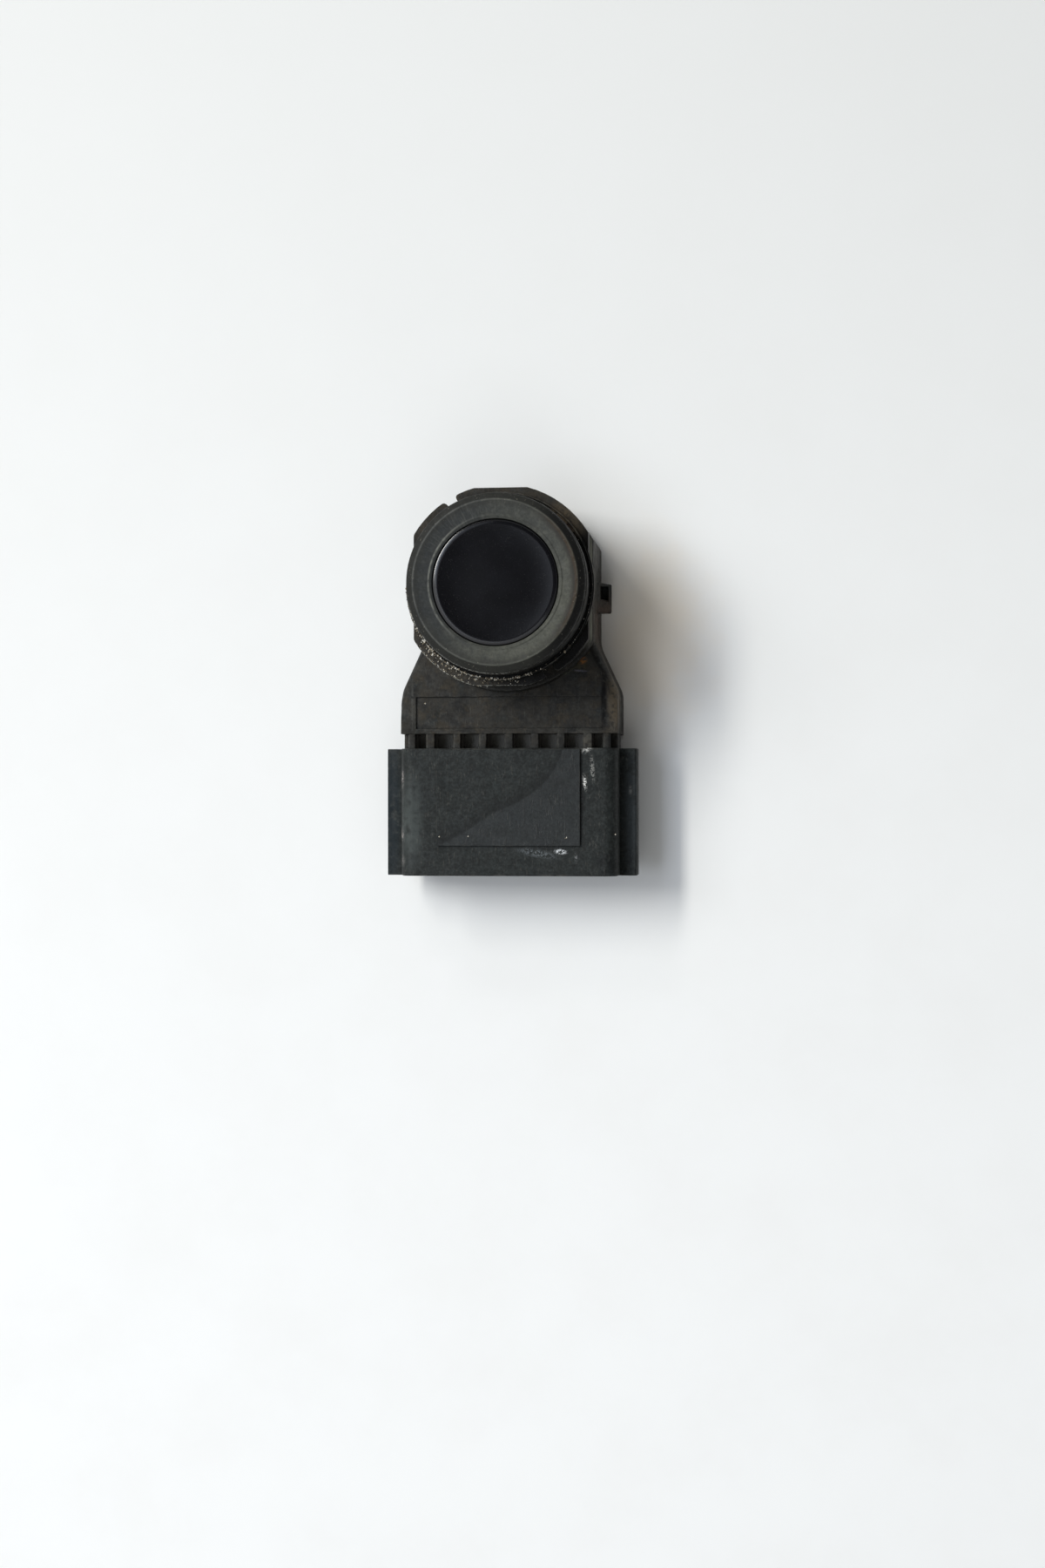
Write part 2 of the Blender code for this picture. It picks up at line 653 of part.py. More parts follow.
def make_housing():
    """The moulded housing: body, barrel, lug ring, ribbed groove and shroud in one piece."""
    housing = prism(
        "housing", body_plan(GROOVE_START), 0.0, DECK_Z, material="glass_filled_nylon"
    )
    top = at_height(DECK_Z)
    round_edges(
        housing,
        DECK_ROUND,
        lambda a, b: top(a, b) and min(a.y, b.y) > -GROOVE_START + 1e-7,
    )
    mark_end = -GROOVE_START + MARK_FIELD_MARGIN
    cut(
        housing,
        block(
            "mark_field",
            (-MARK_FIELD_HALF_WIDTH, mark_end, DECK_Z - MARK_FIELD_DEPTH),
            (MARK_FIELD_HALF_WIDTH, mark_end + MARK_FIELD_LENGTH, PLINTH_Z),
        ),
    )
    plinth = prism("plinth", plinth_plan(), DECK_Z - 2 * DECK_ROUND, PLINTH_Z)
    round_edges(plinth, RIM_ROUND, at_height(PLINTH_Z), steps=2)
    join(housing, plinth)
    barrel = turned(
        "barrel",
        rounded(
            [
                (0.0, RIM_Z, 0.0),
                (BARREL_RADIUS, RIM_Z, RIM_ROUND),
                (BARREL_RADIUS, FLANGE_TOP_Z, 0.0),
                (FLANGE_RADIUS, FLANGE_TOP_Z, RIM_ROUND / 2),
                (FLANGE_RADIUS, FLANGE_Z - LUG_THICKNESS / 3, 0.0),
                (WAIST_RADIUS, FLANGE_Z - LUG_THICKNESS / 3, 0.0),
                (WAIST_RADIUS, DECK_Z - DECK_WALL / 2, 0.0),
                (0.0, DECK_Z - DECK_WALL / 2, 0.0),
            ],
            steps=2,
        ),
    )
    join(housing, barrel)
    join(housing, prism("lug_ring", lug_plan(), LUG_Z, FLANGE_Z))
    join(
        housing,
        prism(
            "groove_comb",
            comb_section(),
            -GROOVE_END - JOIN_OVERLAP,
            -GROOVE_START + JOIN_OVERLAP,
            along="Y",
        ),
    )
    join(housing, prism("shroud", shroud_section(), -MOUTH, -GROOVE_END, along="Y"))
    join(
        housing,
        block(
            "latch_pad",
            (-PAD_HALF_WIDTH, -MOUTH + PAD_MARGIN, TERMINAL_Z),
            (PAD_HALF_WIDTH, -GROOVE_END - RIB_SINK, SHROUD_TOP_Z + PAD_RISE),
        ),
    )
    for side in (-1, 1):
        join(housing, side_catch(side))
    cut_inside(housing)


def side_catch(side):
    """A snap catch on the neck's flat side: a ramp towards the front with a cored middle."""
    root = side * (NECK_HALF_WIDTH - BAY_WALL / 2)
    face = side * NECK_HALF_WIDTH
    tip = side * (NECK_HALF_WIDTH + TAB_REACH)
    loop = [
        (root, TAB_FOOT),
        (tip, TAB_FOOT),
        (tip, TAB_FOOT + TAB_NOSE),
        (face, TAB_FOOT + TAB_HEIGHT),
        (root, TAB_FOOT + TAB_HEIGHT),
    ]
    name = "left" if side < 0 else "right"
    middle = -TAB_OFFSET
    catch = prism(
        f"{name}_catch",
        loop,
        middle - TAB_LENGTH / 2,
        middle + TAB_LENGTH / 2,
        along="Y",
    )
    inner, outer = sorted((face + side * SEAT_GAP, tip - side * SEAT_GAP))
    cut(
        catch,
        block(
            f"{name}_catch_core",
            (inner, middle + TAB_LENGTH / 6 - TAB_CORE / 2, TAB_FOOT + TAB_NOSE / 2),
            (outer, middle + TAB_LENGTH / 6 + TAB_CORE / 2, TAB_FOOT + TAB_HEIGHT * 2),
        ),
    )
    return catch


def post_places():
    """Where the board is held: two posts beside the terminals and two under the barrel's wall."""
    reach = BODY_HALF_WIDTH - BAY_WALL - POST_SETBACK
    ring = NECK_RADIUS - BAY_WALL - SEAT_GAP - POST_RADIUS
    near = [(side * reach, -BAY_END + POST_SETBACK) for side in (-1, 1)]
    far = [
        (ring * math.cos(math.radians(a)), ring * math.sin(math.radians(a)))
        for a in POST_ANGLES
    ]
    return near + far


def cut_inside(housing):
    """The bay for the board, the seat of the rear cover, the barrel's bore and the socket."""
    bay = inset(body_plan(BAY_END + BAY_WALL), BAY_WALL)
    cut(housing, prism("bay", bay, -SEAT_GAP, CEILING_Z))
    seat = inset(body_plan(BAY_END + BAY_WALL), COVER_LEDGE)
    cut(housing, prism("cover_seat", seat, -SEAT_GAP, LEDGE_Z))
    cut(
        housing,
        turned(
            "bore",
            [
                (0.0, RIM_Z + SEAT_GAP),
                (BORE_RADIUS, RIM_Z + SEAT_GAP),
                (BORE_RADIUS, SEAT_Z),
                (SEAT_OPENING_RADIUS, SEAT_Z),
                (SEAT_OPENING_RADIUS, SEAT_Z - SEAT_THICKNESS),
                (CHAMBER_RADIUS, SEAT_Z - SEAT_THICKNESS),
                (CHAMBER_RADIUS, CEILING_Z - SEAT_GAP),
                (0.0, CEILING_Z - SEAT_GAP),
            ],
        ),
    )
    cut(
        housing,
        prism("socket", socket_section(), -MOUTH - SEAT_GAP, -SOCKET_END, along="Y"),
    )
    for name, x in TERMINAL_XS.items():
        half = BLADE_WIDTH / 2 + SIDE_GAP
        rise = BLADE_THICKNESS / 2 + SIDE_GAP
        cut(
            housing,
            block(
                f"{name}_slot",
                (x - half, -SOCKET_END - SEAT_GAP, TERMINAL_Z - rise),
                (x + half, -BAY_END + SEAT_GAP, TERMINAL_Z + rise),
            ),
        )
    for number, place in enumerate(post_places(), start=1):
        join(
            housing,
            rod(
                f"ceiling_post_{number}",
                POST_RADIUS,
                BOARD_TOP_Z + SEAT_GAP,
                CEILING_Z + DECK_WALL / 2,
                at=place,
            ),
        )
    catch_end = -MOUTH + CATCH_MARGIN
    ceiling = SHROUD_TOP_Z - SHROUD_WALL + LATCH_DEPTH
    join(
        housing,
        prism(
            "latch_catch",
            [
                (catch_end, ceiling + SIDE_GAP),
                (catch_end + CATCH_LENGTH, ceiling - LATCH_DEPTH),
                (catch_end + CATCH_LENGTH, ceiling + SIDE_GAP),
            ],
            -CATCH_HALF_WIDTH,
            CATCH_HALF_WIDTH,
            along="X",
        ),
    )


def make_rear_cover():
    """The lid that closes the bay, flush with the rear face, with four posts for the board."""
    plan = inset(body_plan(BAY_END + BAY_WALL), COVER_LEDGE + SIDE_GAP)
    cover = prism("rear_cover", plan, 0.0, COVER_THICKNESS, material="cover_nylon")
    for number, place in enumerate(post_places(), start=1):
        join(
            cover,
            rod(
                f"cover_post_{number}",
                POST_RADIUS,
                COVER_THICKNESS / 2,
                BOARD_Z - SEAT_GAP,
                at=place,
            ),
        )


def make_decoupling_ring():
    """The soft ring round the pot: a dished face, a skirt over the barrel's rim, lips inside."""
    bore = POT_RADIUS + SIDE_GAP
    sleeve = BORE_RADIUS - SIDE_GAP
    skirt = BARREL_RADIUS - RING_SKIRT_INSET
    crest = BARREL_RADIUS - RING_CREST_INSET
    skirt_foot = RIM_Z + SEAT_GAP
    sleeve_foot = POT_FLANGE_TOP_Z + SEAT_GAP
    profile = [
        (bore, CREST_Z - RING_DISH, 0.0),
        (crest, CREST_Z, RING_DISH),
        (skirt, skirt_foot + RING_SKIRT, RING_SKIRT / 2),
        (skirt, skirt_foot, 0.0),
        (sleeve, skirt_foot, 0.0),
    ]
    lip = (skirt_foot - sleeve_foot) / (2 * LIP_COUNT + 1)
    for i in range(LIP_COUNT):
        upper = skirt_foot - (2 * i + 1) * lip
        profile += [
            (sleeve, upper, 0.0),
            (sleeve - LIP_DEPTH, upper, 0.0),
            (sleeve - LIP_DEPTH, upper - lip, 0.0),
            (sleeve, upper - lip, 0.0),
        ]
    profile += [(sleeve, sleeve_foot, 0.0), (bore, sleeve_foot, 0.0)]
    turned("decoupling_ring", rounded(profile, steps=2), "silicone", closed=True)


def make_pot():
    """The drawn aluminium pot. Its floor is the membrane that shows in the sensor's face."""
    inner = POT_RADIUS - POT_WALL
    flange = POT_RADIUS + POT_FLANGE_REACH
    turned(
        "membrane_pot",
        rounded(
            [
                (0.0, MEMBRANE_Z, 0.0),
                (POT_RADIUS, MEMBRANE_Z, POT_ROUND),
                (POT_RADIUS, POT_FLANGE_TOP_Z, 0.0),
                (flange, POT_FLANGE_TOP_Z, 0.0),
                (flange, POT_REAR_Z, 0.0),
                (inner, POT_REAR_Z, 0.0),
                (inner, POT_INNER_Z, 0.0),
                (0.0, POT_INNER_Z, 0.0),
            ],
            steps=3,
        ),
        "black_lacquer",
    )


def make_transducer():
    """Piezo disc, absorber, contact carrier, damper, and the leads and pins of both contacts."""
    inner = POT_RADIUS - POT_WALL - SIDE_GAP
    rod("piezo_disc", PIEZO_RADIUS, PIEZO_Z, PIEZO_Z + PIEZO_THICKNESS, material="ceramic", steps=40)
    absorber = rod(
        "absorber", inner, ABSORBER_Z, ABSORBER_Z + ABSORBER_THICKNESS, material="foam", steps=40
    )
    carrier = rod(
        "contact_carrier",
        CARRIER_RADIUS,
        CARRIER_TOP_Z - CARRIER_THICKNESS,
        CARRIER_TOP_Z,
        material="carrier_plastic",
        steps=TURN_STEPS,
    )
    damper_foot = SEAT_Z + SEAT_GAP
    turned(
        "rear_damper",
        [
            (DAMPER_RADIUS - DAMPER_WIDTH, DAMPER_TOP_Z),
            (DAMPER_RADIUS, DAMPER_TOP_Z),
            (DAMPER_RADIUS, damper_foot),
            (DAMPER_RADIUS - DAMPER_WIDTH, damper_foot),
        ],
        "silicone",
        closed=True,
        steps=40,
    )
    for side, name in ((-1, "inner"), (1, "outer")):
        place = (side * CONTACT_X, CONTACT_Y)
        lead_room = LEAD_RADIUS + LEAD_BOW + SIDE_GAP
        cut(
            absorber,
            rod(
                f"{name}_lead_way",
                lead_room,
                ABSORBER_Z - SEAT_GAP,
                PIEZO_Z,
                at=place,
            ),
        )
        cut(
            carrier,
            rod(
                f"{name}_carrier_hole",
                CONTACT_RADIUS + SOLDER_GAP,
                DAMPER_TOP_Z,
                POT_REAR_Z,
                at=place,
            ),
        )
        rod(
            f"{name}_contact_pin",
            CONTACT_RADIUS,
            BOARD_Z - LEG_TAIL,
            CONTACT_TOP_Z,
            at=place,
            material="tinned_brass",
            steps=12,
        )
        make_lead(f"{name}_piezo_lead", place)


def make_lead(name, place):
    """A thin lead from the piezo's rear face to the head of its contact pin, slightly bowed."""
    high = PIEZO_Z - SOLDER_GAP
    low = CONTACT_TOP_Z + SOLDER_GAP
    curve = bpy.data.curves.new(name, "CURVE")
    curve.dimensions = "3D"
    curve.bevel_depth = LEAD_RADIUS
    curve.bevel_resolution = 1
    curve.use_fill_caps = True
    spline = curve.splines.new("POLY")
    spline.points.add(LEAD_POINTS - 1)
    for i, point in enumerate(spline.points):
        share = i / (LEAD_POINTS - 1)
        bow = LEAD_BOW * math.sin(math.pi * share)
        point.co = (place[0], place[1] + bow, high + (low - high) * share, 1.0)
    add_object(name, curve, "copper")


def make_board():
    """The circuit board, with a slot for each terminal and a hole for each contact pin."""
    plan = inset(body_plan(BAY_END + BAY_WALL), BAY_WALL + BOARD_MARGIN)
    board = prism("circuit_board", plan, BOARD_Z, BOARD_TOP_Z, material="board_laminate")
    for name, x in TERMINAL_XS.items():
        half = BLADE_WIDTH / 2 + SIDE_GAP
        rise = BLADE_THICKNESS / 2 + SIDE_GAP
        cut(
            board,
            block(
                f"{name}_board_slot",
                (x - half, -LEG_PLACE - rise, BOARD_Z - SEAT_GAP),
                (x + half, -LEG_PLACE + rise, BOARD_TOP_Z + SEAT_GAP),
            ),
        )
    for side, name in ((-1, "inner"), (1, "outer")):
        cut(
            board,
            rod(
                f"{name}_board_hole",
                CONTACT_RADIUS + SOLDER_GAP,
                BOARD_Z - SEAT_GAP,
                BOARD_TOP_Z + SEAT_GAP,
                at=(side * CONTACT_X, CONTACT_Y),
            ),
        )


def make_terminals():
    """Three blades with tapered tips, each bent down into the board."""
    half = BLADE_THICKNESS / 2
    tip = -SOCKET_END - BLADE_REACH
    for name, x in TERMINAL_XS.items():
        loop = rounded(
            [
                (tip, TERMINAL_Z - half / 3, 0.0),
                (tip + BLADE_TAPER, TERMINAL_Z - half, 0.0),
                (-LEG_PLACE - half, TERMINAL_Z - half, 0.0),
                (-LEG_PLACE - half, BOARD_Z - LEG_TAIL, 0.0),
                (-LEG_PLACE + half, BOARD_Z - LEG_TAIL, 0.0),
                (-LEG_PLACE + half, TERMINAL_Z + half, BLADE_THICKNESS),
                (tip + BLADE_TAPER, TERMINAL_Z + half, 0.0),
                (tip, TERMINAL_Z + half / 3, 0.0),
            ]
        )
        prism(
            f"{name}_terminal",
            loop,
            x - BLADE_WIDTH / 2,
            x + BLADE_WIDTH / 2,
            along="X",
            material="tinned_brass",
        )


def make_transformer():
    """A drum core with its winding on a moulded base, under the barrel."""
    foot = BOARD_TOP_Z + SOLDER_GAP
    base_top = foot + TRANSFORMER_BASE_THICKNESS
    half = TRANSFORMER_BASE / 2
    block(
        "transformer_base",
        (-half, TRANSFORMER_Y - half, foot),
        (half, TRANSFORMER_Y + half, base_top),
        "carrier_plastic",
    )
    drum = base_top + SOLDER_GAP
    drum_top = drum + DRUM_HEIGHT
    turned(
        "transformer_core",
        [
            (0.0, drum_top),
            (DRUM_RADIUS, drum_top),
            (DRUM_RADIUS, drum_top - DRUM_FLANGE),
            (DRUM_SHAFT_RADIUS, drum_top - DRUM_FLANGE),
            (DRUM_SHAFT_RADIUS, drum + DRUM_FLANGE),
            (DRUM_RADIUS, drum + DRUM_FLANGE),
            (DRUM_RADIUS, drum),
            (0.0, drum),
        ],
        "ferrite",
        at=(0.0, TRANSFORMER_Y),
        steps=28,
    )
    wire = (
        (DRUM_SHAFT_RADIUS + SOLDER_GAP, drum_top - DRUM_FLANGE - SOLDER_GAP),
        (DRUM_RADIUS - WINDING_INSET, drum + DRUM_FLANGE + SOLDER_GAP),
    )
    turned(
        "transformer_winding",
        [
            (wire[0][0], wire[0][1]),
            (wire[1][0], wire[0][1]),
            (wire[1][0], wire[1][1]),
            (wire[0][0], wire[1][1]),
        ],
        "copper",
        closed=True,
        at=(0.0, TRANSFORMER_Y),
        steps=28,
    )


def make_storage_capacitor():
    """A crimped aluminium can that stands on a moulded base."""
    foot = BOARD_TOP_Z + SOLDER_GAP
    base_top = foot + CAPACITOR_BASE_THICKNESS
    reach = CAPACITOR_RADIUS + CAPACITOR_CRIMP / 2
    block(
        "capacitor_base",
        (CAPACITOR_X - reach, CHIP_ROW_Y - reach, foot),
        (CAPACITOR_X + reach, CHIP_ROW_Y + reach, base_top),
        "epoxy",
    )
    low = base_top + SOLDER_GAP
    top = low + CAPACITOR_HEIGHT
    crimp = low + CAPACITOR_HEIGHT / 4
    turned(
        "capacitor_can",
        rounded(
            [
                (0.0, top, 0.0),
                (CAPACITOR_RADIUS, top, CAPACITOR_CRIMP),
                (CAPACITOR_RADIUS, crimp + CAPACITOR_CRIMP, 0.0),
                (CAPACITOR_RADIUS - CAPACITOR_CRIMP, crimp, 0.0),
                (CAPACITOR_RADIUS, crimp - CAPACITOR_CRIMP, 0.0),
                (CAPACITOR_RADIUS, low, 0.0),
                (0.0, low, 0.0),
            ],
            steps=2,
        ),
        "aluminium",
        at=(CAPACITOR_X, CHIP_ROW_Y),
        steps=24,
    )


def make_small_components():
    """Chips, resistors, diode and capacitors on the board's front side."""
    foot = BOARD_TOP_Z + SOLDER_GAP
    for name, (x, y, (width, length, height), material) in SMALL_COMPONENTS.items():
        block(
            name,
            (x - width / 2, y - length / 2, foot),
            (x + width / 2, y + length / 2, foot + height),
            material,
        )


clear_scene()
pieces = new_collection("parking_sensor")
helpers = new_collection("construction_helpers")
carrier_empty = bpy.data.objects.new("parking_sensor_origin", None)
pieces.objects.link(carrier_empty)

make_housing()
make_rear_cover()
make_decoupling_ring()
make_pot()
make_transducer()
make_board()
make_terminals()
make_transformer()
make_storage_capacitor()
make_small_components()
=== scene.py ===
import json
import math

import bmesh
import bpy
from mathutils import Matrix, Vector, geometry


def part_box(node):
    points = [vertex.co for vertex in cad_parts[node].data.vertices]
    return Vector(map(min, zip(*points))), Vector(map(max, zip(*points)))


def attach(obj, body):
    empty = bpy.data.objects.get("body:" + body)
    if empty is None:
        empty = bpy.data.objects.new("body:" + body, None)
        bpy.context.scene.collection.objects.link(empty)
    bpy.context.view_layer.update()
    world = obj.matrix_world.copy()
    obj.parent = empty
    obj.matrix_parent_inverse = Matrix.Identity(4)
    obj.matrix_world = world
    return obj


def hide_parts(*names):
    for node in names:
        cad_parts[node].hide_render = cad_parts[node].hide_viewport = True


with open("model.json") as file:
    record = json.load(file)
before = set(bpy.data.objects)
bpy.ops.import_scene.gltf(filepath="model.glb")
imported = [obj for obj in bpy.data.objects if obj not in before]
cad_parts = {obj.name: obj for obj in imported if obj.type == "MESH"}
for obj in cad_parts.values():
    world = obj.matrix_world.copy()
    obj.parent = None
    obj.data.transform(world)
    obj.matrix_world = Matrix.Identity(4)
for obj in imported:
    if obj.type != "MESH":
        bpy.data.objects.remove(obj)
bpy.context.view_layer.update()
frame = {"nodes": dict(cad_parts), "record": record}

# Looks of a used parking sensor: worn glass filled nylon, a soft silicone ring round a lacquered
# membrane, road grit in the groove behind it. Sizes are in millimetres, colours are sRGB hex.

mm = 0.001
nodes = frame["nodes"]
collection = bpy.context.scene.collection


def linear(hexCode):
    # an sRGB hex colour as the linear one that Blender's sockets take
    shares = [int(hexCode[i:i + 2], 16) / 255 for i in (1, 3, 5)]
    return (*(s / 12.92 if s <= 0.04045 else ((s + 0.055) / 1.055) ** 2.4 for s in shares), 1.0)


def addNode(tree, kind, inputs=None, **settings):
    # one node with its settings; an input is a value, or the socket that feeds it
    node = tree.nodes.new(kind)
    for key, value in settings.items():
        setattr(node, key, value)
    for socket, value in (inputs or {}).items():
        if isinstance(value, bpy.types.NodeSocket):
            tree.links.new(value, node.inputs[socket])
        else:
            node.inputs[socket].default_value = value
    return node


# Camera: a long lens straight above, a little to the lower right of the sensor
camera = {"place": (30.88, -23.73, 261.03), "turn": (0.326, 6.646, -0.063), "lens": 50.0, "sensor": 36.0}

cameraData = bpy.data.cameras.new("camera")
cameraData.lens = camera["lens"]
cameraData.sensor_width = camera["sensor"]
cameraData.clip_start = 0.01
cameraObject = bpy.data.objects.new("camera", cameraData)
cameraObject.location = Vector(camera["place"]) * mm
cameraObject.rotation_euler = [math.radians(a) for a in camera["turn"]]
collection.objects.link(cameraObject)
bpy.context.scene.camera = cameraObject
print("camera placed")

# Lamps: level is the share of a white floor's light that each gives at the sensor
lamps = {
    "leftStrip": {
        "place": (-659, 460, 909), "aim": (0, 460, 0), "size": (760, 150), "level": 0.43, "colour": "#fffdf8",
    },
    "leftHighBox": {
        "place": (-405, 0, 900), "aim": (0, 0, 0), "size": (790, 262), "level": 0.24, "colour": "#e6efff",
    },
    "leftLowBox": {
        "place": (-900, 320, 864), "aim": (0, 0, 0), "size": (440, 380), "level": 0.1, "colour": "#f6f9ff",
    },
    "leftDimPanel": {
        "place": (-150, 0, 600), "aim": (0, 0, 0), "size": (440, 120), "level": 0.02, "colour": "#dfeaff",
    },
    "topStrip": {
        "place": (-210, 440, 350), "aim": (0, 0, 0), "size": (120, 60), "level": 0.03, "colour": "#ffffff",
    },
    "lowSoftBox": {
        "place": (60, -520, 900), "aim": (0, -60, 0), "size": (480, 480), "level": 0.08, "colour": "#fbfdff",
    },
}

for lampName, lamp in lamps.items():
    data = bpy.data.lights.new(lampName, "AREA")
    data.shape = "RECTANGLE"
    data.size, data.size_y = (side * mm for side in lamp["size"])
    data.color = linear(lamp["colour"])[:3]
    place = Vector(lamp["place"]) * mm
    facing = (Vector(lamp["aim"]) * mm - place).normalized()
    slant = facing.dot(-place.normalized()) * place.normalized().z
    data.energy = lamp["level"] * (math.pi * place.length) ** 2 / slant
    lampObject = bpy.data.objects.new(lampName, data)
    lampObject.location = place
    lampObject.rotation_mode = "QUATERNION"
    lampObject.rotation_quaternion = facing.to_track_quat("-Z", "Y")
    lampObject.visible_camera = False
    collection.objects.link(lampObject)

surroundings = {"ambient": "#fcfdff", "ambientLevel": 0.28, "backdrop": "#eeefed"}
world = bpy.data.worlds.new("studio")
world.use_nodes = True
worldTree = world.node_tree
worldTree.nodes.clear()
ambient = addNode(
    worldTree, "ShaderNodeBackground",
    {"Color": linear(surroundings["ambient"]), "Strength": surroundings["ambientLevel"]},
)
backdrop = addNode(worldTree, "ShaderNodeBackground", {"Color": linear(surroundings["backdrop"])})
ray = addNode(worldTree, "ShaderNodeLightPath")
seen = addNode(
    worldTree, "ShaderNodeMixShader",
    {0: ray.outputs["Is Camera Ray"], 1: ambient.outputs[0], 2: backdrop.outputs[0]},
)
addNode(worldTree, "ShaderNodeOutputWorld", {"Surface": seen.outputs[0]})
bpy.context.scene.world = world
bpy.context.scene.view_settings.view_transform = "Standard"

# Dark cards out of the camera's sight: one above, which the glossy membrane mirrors, and one on the
# right, which keeps that side of the sensor in shade; their corners in millimetres
cards = {
    "darkCardAbove": [(-43, 12, 300), (-43, 130, 300), (130, 130, 300), (130, 12, 300)],
    "darkCardRight": [(300, -420, 5), (300, 420, 5), (300, 420, 300), (300, -420, 300)],
}

cardObjects = []
for cardName, corners in cards.items():
    cardMesh = bpy.data.meshes.new(cardName)
    cardMesh.from_pydata([Vector(corner) * mm for corner in corners], [], [(0, 1, 2, 3)])
    cardObjects.append(bpy.data.objects.new(cardName, cardMesh))
    cardObjects[-1].visible_camera = False
    collection.objects.link(cardObjects[-1])
print("lamps, world and cards made")


def startMaterial(name):
    # a Principled material with its shader, and the Object coordinates in millimetres
    material = bpy.data.materials.new(name)
    material.use_nodes = True
    tree = material.node_tree
    place = addNode(tree, "ShaderNodeTexCoord").outputs["Object"]
    scaled = addNode(tree, "ShaderNodeVectorMath", {0: place, "Scale": 1 / mm}, operation="SCALE")
    return material, tree, tree.nodes["Principled BSDF"], scaled.outputs[0]


def blotches(tree, at, size, low, high, detail=3.0, stretch=(1, 1, 1)):
    # soft-edged patches about that many millimetres wide, from 0 to 1
    shaped = addNode(tree, "ShaderNodeMapping", {"Vector": at, "Scale": stretch})
    noise = addNode(
        tree, "ShaderNodeTexNoise",
        {"Vector": shaped.outputs[0], "Scale": 1 / size, "Detail": detail, "Roughness": 0.6},
    )
    return addNode(
        tree, "ShaderNodeMapRange", {0: noise.outputs[0], 1: low, 2: high}, interpolation_type="SMOOTHSTEP",
    ).outputs[0]


def times(tree, *masks):
    # masks multiplied together
    result = masks[0]
    for mask in masks[1:]:
        result = addNode(tree, "ShaderNodeMath", {0: result, 1: mask}, operation="MULTIPLY").outputs[0]
    return result


def coat(tree, under, over, *masks):
    # a tone laid over a colour where all its masks are high
    mix = {0: times(tree, *masks), 6: under, 7: linear(over)}
    return addNode(tree, "ShaderNodeMix", mix, data_type="RGBA").outputs[2]


def between(tree, value, start, end):
    # 0 at the start value and 1 at the end value, smoothly
    return addNode(
        tree, "ShaderNodeMapRange", {0: value, 1: start, 2: end}, interpolation_type="SMOOTHSTEP",
    ).outputs[0]


def added(tree, value, share, more):
    # a value with a share of another one added to it
    terms = {0: more, 1: share, 2: value}
    return addNode(tree, "ShaderNodeMath", terms, operation="MULTIPLY_ADD").outputs[0]


def wire(tree, shader, colour, rough, height, strength, depth):
    # colour, roughness and relief led into the shader, the relief's depth in millimetres
    bump = addNode(tree, "ShaderNodeBump", {"Strength": strength, "Distance": depth * mm, "Height": height})
    for socket, output in (("Base Color", colour), ("Roughness", rough), ("Normal", bump.outputs[0])):
        tree.links.new(output, shader.inputs[socket])


def towards(tree, at, x, y, start, end):
    # a mask that rises that way from the barrel's axis
    share = addNode(tree, "ShaderNodeVectorMath", {0: at, 1: (x, y, 0.0)}, operation="DOT_PRODUCT")
    return between(tree, share.outputs["Value"], start, end)


def polar(tree, at):
    # distance from the barrel's axis
    flat = addNode(tree, "ShaderNodeVectorMath", {0: at, 1: (1, 1, 0)}, operation="MULTIPLY")
    return addNode(tree, "ShaderNodeVectorMath", {0: flat.outputs[0]}, operation="LENGTH").outputs["Value"]


def spot(tree, at, centre, radii, turn=0.0, ragged=0.4, grain=0.5, core=0.35):
    # an oval mark with a ragged edge: 1 in its core and 0 outside its radii
    local = addNode(
        tree, "ShaderNodeMapping",
        {"Vector": at, "Location": centre, "Rotation": (0, 0, math.radians(turn)), "Scale": radii},
        vector_type="TEXTURE",
    )
    distance = addNode(tree, "ShaderNodeVectorMath", {0: local.outputs[0]}, operation="LENGTH")
    noise = addNode(tree, "ShaderNodeTexNoise", {"Vector": at, "Scale": 1 / grain, "Detail": 2.0})
    wander = added(tree, distance.outputs["Value"], 2 * ragged, noise.outputs[0])
    return between(tree, wander, 1.0 + ragged, core + ragged)


